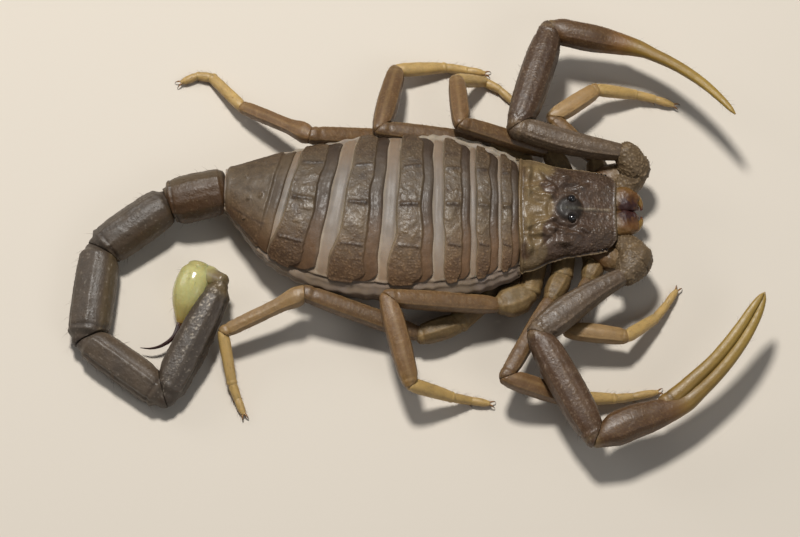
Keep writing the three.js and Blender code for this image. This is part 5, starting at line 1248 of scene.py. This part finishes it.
def leg_pieces(name, tile):
    side, k = name.split("_")
    leg, (root, hip, turn) = LEGS[int(k)], LEG_POSE[name]
    dirs = [heading(*p) for p in turn]
    J = [np.array(hip)]
    for l, d in zip(leg["len"], dirs):
        J.append(J[-1] + d * l)
    wf, wp, wt, ws = (w / 2 for w in leg["wid"])
    dark_f, dark_p = LEG_DARK[name]
    seed = 600 + 20 * tile
    coxa_dir = unit(J[0] - np.array(root))

    def part(s, C, A, B, m, cap0, cap1, colour, rough, planes=(), gran=0.4, keels=(), count=0, sub=0, power=2.3, lumps=0.03, own=None, hair=(0.2, 0.55)):
        P, t, phi, L = limb_rings(C, A, B, UPV, m, power, cap0, cap1, 8)
        N = outward(P)
        h = lumps * fbm(P, 0.8, seed + sub) + 0.5 * lumps * fbm(P, 0.3, seed + sub + 12) + 0.018 * domes(P, 0.16, seed + sub + 1, gran * 0.6) + 0.010 * domes(P, 0.09, seed + sub + 2, gran)
        for ang, amp, w in keels:
            h = h + keel(t, phi, L, ang, amp, w, 0.15, 0.05, 0.95, ang)
        h = h + 0.03 * bell(t, 0.97, 0.02) - 0.025 * bell(t, 0.935, 0.02)
        P = P + N * h[..., None]
        own = unit(C[-1] - C[0]) if own is None else own
        for joint, before, after, keep in planes:
            P = mitred(P, joint, before, after, keep, groove=0.06, axis=own)
        col = colour(P, t, phi)
        wear = np.clip(sum(np.exp(-(turn_to(phi, ang) / (w * 0.7)) ** 2) for ang, _, w in keels), 0, 1) if keels else 0 * t
        col = mix(col, rgb(176, 154, 118), 0.25 * wear)
        col = mix(col, rgb(176, 154, 118), 0.30 * domes(P, 0.13, seed + sub + 6, gran * 0.7))
        col = col * (1 + 0.10 * fbm(P, 0.35, seed + sub + 3))[..., None]
        s.tube(P, col, rough + 0.08 + 0.10 * noise(P, 0.4, seed + sub + 4))
        if count:
            add_hairs(P, N, t, phi, 30 + tile * 6 + sub % 6, count, own, seed + sub + 5, hair, None, 0.8, 0.008)

    olive = rgb(120, 106, 76)

    def base_col(P, t, phi):
        c = mix(olive, rgb(112, 90, 58), np.clip(0.5 + 0.6 * fbm(P, 0.9, seed), 0, 1))
        c = mix(c, rgb(160, 142, 106), 0.28 * (bell(t, 0.97, 0.05) + 0.5 * bell(t, 0.02, 0.05)))
        c = mix(c, rgb(84, 68, 46), 0.5 * np.clip(fbm(P, 0.6, seed + 13) + 0.05, 0, 1))
        # painted shade: the underside is darkened
        return mix(c, rgb(86, 64, 40), 0.6 * smooth(np.abs(turn_to(phi, 90)), 80, 140))

    def femur_col(P, t, phi):
        c = mix(LEG_OLIVE, LEG_BROWN, dark_f)
        c = mix(c, LEG_MID, np.clip(0.25 + 0.4 * fbm(P, 1.0, seed + 7), 0, 1))
        c = mix(c, rgb(150, 132, 98), 0.5 * (1 - smooth(t, 0.0, 0.05)))
        # painted shade: the underside is darkened
        return mix(c, rgb(84, 60, 38), 0.6 * smooth(np.abs(turn_to(phi, 90)), 75, 135)) * tone

    def patella_col(P, t, phi):
        c = mix(LEG_MID if dark_p > 0.4 else rgb(162, 138, 102), mix(LEG_BROWN, rgb(116, 88, 62), 0.4), dark_p)
        c = mix(c, LEG_OLIVE, 0.55 * smooth(t, 0.78, 1.0))
        c = c * (1.12 - 0.10 * dark_p)
        # painted shade: the underside is darkened
        c = mix(c, rgb(96, 72, 46), 0.55 * smooth(np.abs(turn_to(phi, 90)), 75, 135))
        return mix(c, LEG_MID, np.clip(0.2 + 0.4 * fbm(P, 1.0, seed + 8), 0, 1) * 0.5) * tone

    # darker thigh and knee for some legs; on the right hind leg, whose thigh lies under the body, this darkening is
    # painted shade
    tone = {"left_3": 0.80, "right_4": 0.84, "right_1": 0.88, "left_2": 0.92, "right_2": 0.92}.get(name, 1.0)

    def foot_col(P, t, phi):
        c = mix(FOOT_A, FOOT_B, np.clip(0.5 + 0.5 * fbm(P, 0.9, seed + 9), 0, 1))
        # painted shade: the underside is darkened
        return mix(c, rgb(140, 104, 54), 0.55 * smooth(np.abs(turn_to(phi, 90)), 85, 140))

    s = Shape()
    # coxa, trochanter, thigh
    n = max(24, int(np.linalg.norm(J[0] - root) / 0.10))
    A, B = profile([[0, 0.80, 0.70], [0.5, 0.90, 0.80], [1, 0.92, 0.85]], n)
    part(s, line(np.array(root), J[0] - coxa_dir * 0.15, n), A, B, 64, 0.3, 0.35, base_col, 0.58, gran=0.9, sub=0, keels=((90, 0.07, 8),), lumps=0.05)
    n = max(24, int(leg["len"][0] / 0.07))
    leaf = 1.38 if name == "right_3" else 1.0
    A, B = profile([[0, 0.80, 0.76], [0.3, 0.92 * leaf, 0.86], [0.75, wf * 1.22 * leaf, wf * 1.20], [1, wf * 0.95, wf * 0.95]], n)
    part(s, line(J[0] - dirs[0] * 0.05, J[1] + dirs[0] * 0.12, n), A, B, 72, 0.5, 0.35, base_col, 0.56, gran=0.9, sub=10, keels=((70, 0.07, 8), (120, 0.06, 8)), count=14, lumps=0.05)
    n = int(leg["len"][1] / 0.075)
    A, B = profile([[0, wf * 0.62, wf * 0.66], [0.06, wf * 0.84, wf * 0.88], [0.3, wf, wf * 1.05], [0.75, wf, wf * 1.08], [1, wf * 0.90, wf * 0.96]], n)
    part(s, line(J[1], J[2], n), A, B, 68, 0.3, wf * 0.8, femur_col, 0.42, planes=((J[2], dirs[1], dirs[2], -1),), keels=((42, 0.05, 8), (138, 0.05, 8), (-55, 0.04, 9), (-125, 0.04, 9)), gran=0.7, count=50, sub=2, own=dirs[1], power=2.8)
    build(f"leg_{name}_femur", s, M_LEG, [f"leg_{name}_femur"], "leg")

    s = Shape()
    n = int(leg["len"][2] / 0.075)
    A, B = profile([[0, wf * 0.92, wf * 0.92], [0.10, wf * 1.08, wf * 1.04], [0.3, wp * 1.02, wp * 1.02], [0.70, wp * 0.97, wp], [0.92, lerp(wp, wt, 0.45) * 1.02, lerp(wp, wt, 0.5)], [1, wt * 1.08, wt * 1.06]], n)
    part(s, line(J[2], J[3], n), A, B, 68, wf * 0.8, wt * 0.75, patella_col, 0.42, planes=((J[2], dirs[1], dirs[2], 1), (J[3], dirs[2], dirs[3], -1)),
         keels=((88, 0.035, 7), (44, 0.06, 7), (136, 0.06, 7), (-90, 0.03, 9)), gran=0.6, count=50, sub=3, own=dirs[2], power=2.9)
    build(f"leg_{name}_patella", s, M_LEG, [f"leg_{name}_patella"], "leg")

    s = Shape()
    n = int(leg["len"][3] / 0.075)
    A, B = profile([[0, wt * 0.96, wt * 0.92], [0.15, wt * 1.08, wt * 1.02], [0.6, wt * 1.0, wt * 0.97], [1, ws * 1.02, ws]], n)
    part(s, line(J[3], J[4], n), A, B, 56, wt * 0.75, 0.22, foot_col, 0.42, planes=((J[3], dirs[2], dirs[3], 1),), count=50, sub=4, own=dirs[3], lumps=0.02)
    tip = J[6].copy()
    tip[2] = max(0.30, min(0.36, tip[2] if tip[2] > 0.30 else 0.34))
    mid5 = J[5].copy()
    mid5[2] = max(mid5[2], ws * 0.9)
    n = max(20, int(leg["len"][4] / 0.07))
    A, B = profile([[0, ws * 0.82, ws * 0.86], [0.3, ws * 0.92, ws * 0.96], [1, ws * 0.82, ws * 0.86]], n)
    part(s, line(J[4], mid5, n), A, B, 48, 0.2, 0.2, foot_col, 0.42, count=34, sub=5, own=dirs[4], lumps=0.015)
    C = curve([mid5, lerp(mid5, J[6], 0.55) * [1, 1, 0] + [0, 0, max(lerp(mid5[2], J[6][2], 0.55), 0.36)], tip], [0, 0.55, 1], max(24, int(leg["len"][5] / 0.06)))
    A, B = profile([[0, ws * 0.70, ws * 0.76], [0.35, ws * 0.80, ws * 0.86], [0.75, ws * 0.70, ws * 0.72], [1, ws * 0.42, ws * 0.42]], len(C))
    B = np.minimum(B, C[:, 2] * 0.98)
    part(s, C, A, B, 44, 0.2, 0.1, foot_col, 0.42, count=40, sub=1, own=dirs[5], lumps=0.012, hair=(0.15, 0.4))
    # spurs at the joints and the paired claws
    ahead = unit(dirs[5] * [1, 1, 0])
    across = np.cross(UPV, ahead)
    for sy in (1, -1):
        pts = [tip + across * sy * 0.08 + [0, 0, 0.05], tip + ahead * 0.22 + across * sy * 0.17 + [0, 0, 0.06], tip + ahead * 0.42 + across * sy * 0.24 + [0, 0, -0.08], tip * [1, 1, 0] + ahead * 0.50 + across * sy * 0.26 + [0, 0, 0.05]]
        Cc = curve(pts, [0, 0.35, 0.75, 1], 26)
        w = np.linspace(0.085, 0.02, 26)
        P, t, phi, L = limb_rings(Cc, w, w, UPV, 14, 2.0, 0.03, 0.01, 3)
        s.tube(P, mix(rgb(132, 92, 46), rgb(60, 32, 18), smooth(t, 0.3, 0.9)), 0.25)
        c5 = mid5 - dirs[4] * 0.05 + across * sy * ws * 0.6 - [0, 0, ws * 0.45]
        d5 = unit(dirs[5] + across * sy * 0.7 - UPV * 0.35)
        q = np.linspace(0, 1, 12)[:, None]
        Cs = c5 * (1 - q) + (c5 + d5 * 0.34) * q
        Cs[:, 2] = np.maximum(Cs[:, 2], 0.05)
        P, t, phi, L = limb_rings(Cs, np.linspace(0.06, 0.015, 12), np.linspace(0.06, 0.015, 12), UPV + 0.01, 10, 2.0, 0.02, 0.01, 3)
        s.tube(P, mix(rgb(140, 104, 56), rgb(80, 46, 24), smooth(t, 0.3, 0.9)), 0.3)
    if k in ("3", "4"):                                          # a spur under the end of the shin on the two rear pairs
        c4 = J[4] - dirs[3] * 0.12 - UPV * ws * 0.7
        d4 = unit(dirs[4] - UPV * 0.8)
        q = np.linspace(0, 1, 12)[:, None]
        Cs = c4 * (1 - q) + (c4 + d4 * 0.42) * q
        Cs[:, 2] = np.maximum(Cs[:, 2], 0.05)
        P, t, phi, L = limb_rings(Cs, np.linspace(0.075, 0.015, 12), np.linspace(0.075, 0.015, 12), UPV + 0.01, 10, 2.0, 0.02, 0.01, 3)
        s.tube(P, mix(rgb(140, 104, 56), rgb(80, 46, 24), smooth(t, 0.3, 0.9)), 0.3)
    build(f"leg_{name}_foot", s, M_LEG, [f"leg_{name}_foot"], "foot")


# ------------------------------------------------------------------ underside
def belly_pieces():
    # five belly plates with their breathing slits
    edges = [4.4, 1.4, -1.9, -5.4, -9.2, -14.0]
    for i in range(5):
        front, rear = edges[i] - 0.05, edges[i + 1] + 0.05
        X, U = np.meshgrid(edged(rear, front, max(20, int((front - rear) / 0.12))), edged(0, 1, 110, fringe=0.02), indexing="ij")
        A = lerp(208, 332, U)
        A = 270 + (A - 270) * (1 - 0.05 * bell((X - rear) / (front - rear), 0, 0.12))
        width = station(TRUNK, X)[..., 1]
        dist = np.minimum(np.minimum(X - rear, front - X), np.minimum(U, 1 - U) * width * 2.2)
        P0 = trunk_point(X, A, 0.12)
        h = 0.02 * fbm(P0, 0.9, 900 + i) + 0.008 * domes(P0, 0.2, 905 + i, 0.5) - rim(dist, 0.16)
        if i < 4:
            for q in (240, 300):
                h = h - 0.10 * np.exp(-((A - q) / 3.4) ** 2 - ((X - lerp(rear, front, 0.42)) / 0.14) ** 2)
        else:
            for q in (250, 262, 278, 290):
                h = h + 0.05 * np.exp(-((A - q) / 1.6) ** 2) * smooth(X, rear + 0.5, rear + 1.2) * (1 - smooth(X, front - 1.4, front - 0.8))
        P = trunk_point(X, A, 0.12 - h)
        IX, IU = np.meshgrid(np.linspace(rear + 0.05, front - 0.05, 8), np.linspace(0.01, 0.99, 24), indexing="ij")
        inner = trunk_point(IX, lerp(208, 332, IU), 0.45)
        col = mix(rgb(150, 126, 88), rgb(126, 100, 66), np.clip(0.4 + 0.6 * fbm(P, 1.2, 910 + i), 0, 1))
        if i < 4:
            for q in (240, 300):
                col = mix(col, rgb(60, 40, 26), 0.8 * np.exp(-((A - q) / 3.2) ** 2 - ((X - lerp(rear, front, 0.42)) / 0.12) ** 2))
        s = Shape()
        s.plate(P, inner, col, 0.38 + 0.05 * noise(P, 0.8, 915), DEEP)
        build(f"sternite_{i + 3}", s, M_BACK, [], "back_plate")
    # breastbone, a small arrowhead, and the two lobes of the opening behind it
    s = Shape()
    for (cx, cy, lx, ly, hz, power) in ((11.9, 4.5, 0.75, 0.55, 0.16, 2.0), (10.55, 4.95, 0.55, 0.48, 0.18, 2.2), (10.55, 3.95, 0.55, 0.48, 0.18, 2.2)):
        n, m = 22, 56
        th = np.linspace(0.05, math.pi - 0.05, n)[:, None]
        ph = (np.arange(m) / m * 2 * math.pi)[None]
        P = np.stack([cx + lx * np.sin(th) * superp(np.cos(ph), power), cy + ly * np.sin(th) * superp(np.sin(ph), power), 0.96 - hz * np.cos(th) + 0 * ph], -1)
        s.tube(P, rgb(142, 116, 76), 0.36)
    build("breastbone", s, M_BACK, [], "back_plate")
    # combs: a jointed shaft with a row of flat teeth
    for name, sy in (("pecten_left", 1), ("pecten_right", -1)):
        s = Shape()
        base, end = np.array([8.3, 4.28 + sy * 0.7, 0.66]), np.array([3.85, 4.28 + sy * 3.9, 0.40])
        along = unit(end - base)
        back = unit(np.cross(UPV, along)) * (1 if np.cross(UPV, along)[0] < 0 else -1)
        n = 90
        C = line(base, end, n) - back * 0.12
        w = station([[0, 0.36], [0.2, 0.42], [0.7, 0.32], [1, 0.12]], np.linspace(0, 1, n))[:, 0]
        P, t, phi, L = limb_rings(C, w, np.minimum(w * 0.5, 0.20), UPV, 48, 2.3, 0.1, 0.1, 5)
        N = outward(P)
        P = P + N * (0.015 * fbm(P, 0.4, 930) - 0.04 * (bell(t, 0.34, 0.012) + bell(t, 0.67, 0.012)))[..., None]
        s.tube(P, mix(rgb(158, 136, 98), rgb(140, 114, 74), np.clip(0.5 + fbm(P, 0.5, 931), 0, 1)), 0.4)
        count = 24
        for q in range(count):
            f = (q + 0.5) / count
            root_ = lerp(base, end, 0.03 + 0.95 * f) + back * (0.14 - 0.06 * f)
            dirn = unit(back + along * 0.25)
            size = 0.62 - 0.20 * f
            Ct = line(root_, root_ + dirn * size, 12) - np.array([0, 0, 0.03])
            wt_ = station([[0, 0.05], [0.4, 0.075], [0.8, 0.08], [1, 0.05]], np.linspace(0, 1, 12))[:, 0]
            P, t, phi, L = limb_rings(Ct, wt_, wt_ * 0.8, UPV, 12, 2.0, 0.02, 0.04, 3)
            s.tube(P, rgb(176, 152, 112), 0.4)
        build(name, s, M_COMB, [name], "comb")


def hair_piece():
    roots = np.concatenate([h[0] for h in HAIRS])
    dirs = np.concatenate([h[1] for h in HAIRS])
    ln = np.concatenate([h[2] for h in HAIRS])
    uv = np.concatenate([h[3] for h in HAIRS])
    thick = np.concatenate([h[4] for h in HAIRS])
    bend = np.concatenate([h[5] for h in HAIRS])
    n, rings, sides = len(roots), 4, 3
    a = unit(np.cross(dirs, [0.3, 0.5, 0.81]))
    b = np.cross(dirs, a)
    verts, places = [], []
    for k in range(rings):
        f = k / rings
        c = roots + dirs * (ln * f)[:, None] + bend * (ln * 0.30 * f * f)[:, None]
        for q in range(sides):
            ang = q / sides * 2 * math.pi
            verts.append(c + (a * math.cos(ang) + b * math.sin(ang)) * (thick * (1 - 0.75 * f))[:, None])
            places.append(uv + np.array([(q - 1) * 0.0012, (f - 0.5) * 0.0028]))
    tipv = roots + dirs * ln[:, None] + bend * (ln * 0.30)[:, None]
    verts.append(tipv)
    places.append(uv + np.array([0, 0.0015]))
    footv = roots - dirs * 0.02
    verts.append(footv)
    places.append(uv - np.array([0, 0.0015]))
    V = np.stack(verts, 1)
    UVs = np.stack(places, 1)
    per = V.shape[1]
    tri = []
    for k in range(rings - 1):
        for q in range(sides):
            p0, p1, p2, p3 = k * sides + q, k * sides + (q + 1) % sides, (k + 1) * sides + (q + 1) % sides, (k + 1) * sides + q
            tri += [(p0, p1, p2), (p0, p2, p3)]
    last, tp, ft = (rings - 1) * sides, rings * sides, rings * sides + 1
    for q in range(sides):
        tri += [(last + q, last + (q + 1) % sides, tp), ((q + 1) % sides, q, ft)]
    tri = np.array(tri)
    T = (tri[None] + (np.arange(n) * per)[:, None, None]).reshape(-1, 3)
    s = Shape()
    tone = np.repeat(np.random.default_rng(5).uniform(0, 1, n), per)
    s.points(V.reshape(-1, 3), mix(rgb(112, 82, 48), rgb(70, 46, 30), tone), 0.5)
    s.t.append(T)
    ob = build("hairs", s, M_HAIR, [], "leg")
    lay = ob.data.uv_layers.new(name="OFBake")
    idx = np.empty(len(ob.data.loops), np.int32)
    ob.data.loops.foreach_get("vertex_index", idx)
    lay.data.foreach_set("uv", UVs.reshape(-1, 2)[idx].astype(np.float32).ravel())
    return ob


skin_piece()
for i in range(7):
    tergite_piece(i)
carapace_piece()
eye_pieces()
jaw_pieces()
tail_pieces()
for side in ("left", "right"):
    pincer_pieces(side)
for k, name in enumerate(LEG_POSE):
    leg_pieces(name, k)
belly_pieces()
hair_piece()


# ------------------------------------------------------------------ stage, lights, camera
def area(name, place, aim, size, power, colour=(1, 1, 1)):
    L = bpy.data.lights.new(name, "AREA")
    L.shape, L.size, L.energy, L.color = "DISK", size, power, colour
    ob = bpy.data.objects.new(name, L)
    ob.location = place
    ob.rotation_euler = (Vector(aim) - Vector(place)).to_track_quat("-Z", "Y").to_euler()
    bpy.context.scene.collection.objects.link(ob)
    return ob


def stage():
    me = bpy.data.meshes.new("floor")
    z = -0.00002
    me.from_pydata([(-1.5, -1.5, z), (1.5, -1.5, z), (1.5, 1.5, z), (-1.5, 1.5, z)], [], [(0, 1, 2, 3)])
    floor = bpy.data.objects.new("floor", me)
    bpy.context.scene.collection.objects.link(floor)
    m = bpy.data.materials.new("floor")
    m.use_nodes = True
    b = m.node_tree.nodes["Principled BSDF"]
    b.inputs["Base Color"].default_value = (0.66, 0.60, 0.52, 1)
    b.inputs["Roughness"].default_value = 0.9
    me.materials.append(m)
    w = bpy.data.worlds.new("studio")
    bpy.context.scene.world = w
    w.use_nodes = True
    w.node_tree.nodes["Background"].inputs["Color"].default_value = (0.95, 0.97, 1.0, 1)
    w.node_tree.nodes["Background"].inputs["Strength"].default_value = 0.13
    area("key", (-0.035, 0.105, 0.27), (0, 0, 0.003), 0.046, 0.84, (1.0, 0.98, 0.94))
    area("fill", (0.16, -0.16, 0.22), (0, 0, 0.003), 0.16, 0.10, (0.94, 0.97, 1.0))
    area("rim", (-0.20, 0.10, 0.12), (0, 0, 0.003), 0.10, 0.07)
    bpy.context.scene.view_settings.view_transform = "Standard"
    cam = bpy.data.cameras.new("camera")
    cam.lens, cam.sensor_width, cam.sensor_fit = 168.75, 36.0, "HORIZONTAL"
    cam.clip_start, cam.clip_end = 0.01, 10.0
    ob = bpy.data.objects.new("camera", cam)
    ob.location = (-0.001349, -0.105861, 0.285908)
    ob.rotation_euler = (Vector((-0.001349, -0.003255, 0.004)) - ob.location).to_track_quat("-Z", "Y").to_euler()
    bpy.context.scene.collection.objects.link(ob)
    bpy.context.scene.camera = ob


stage()
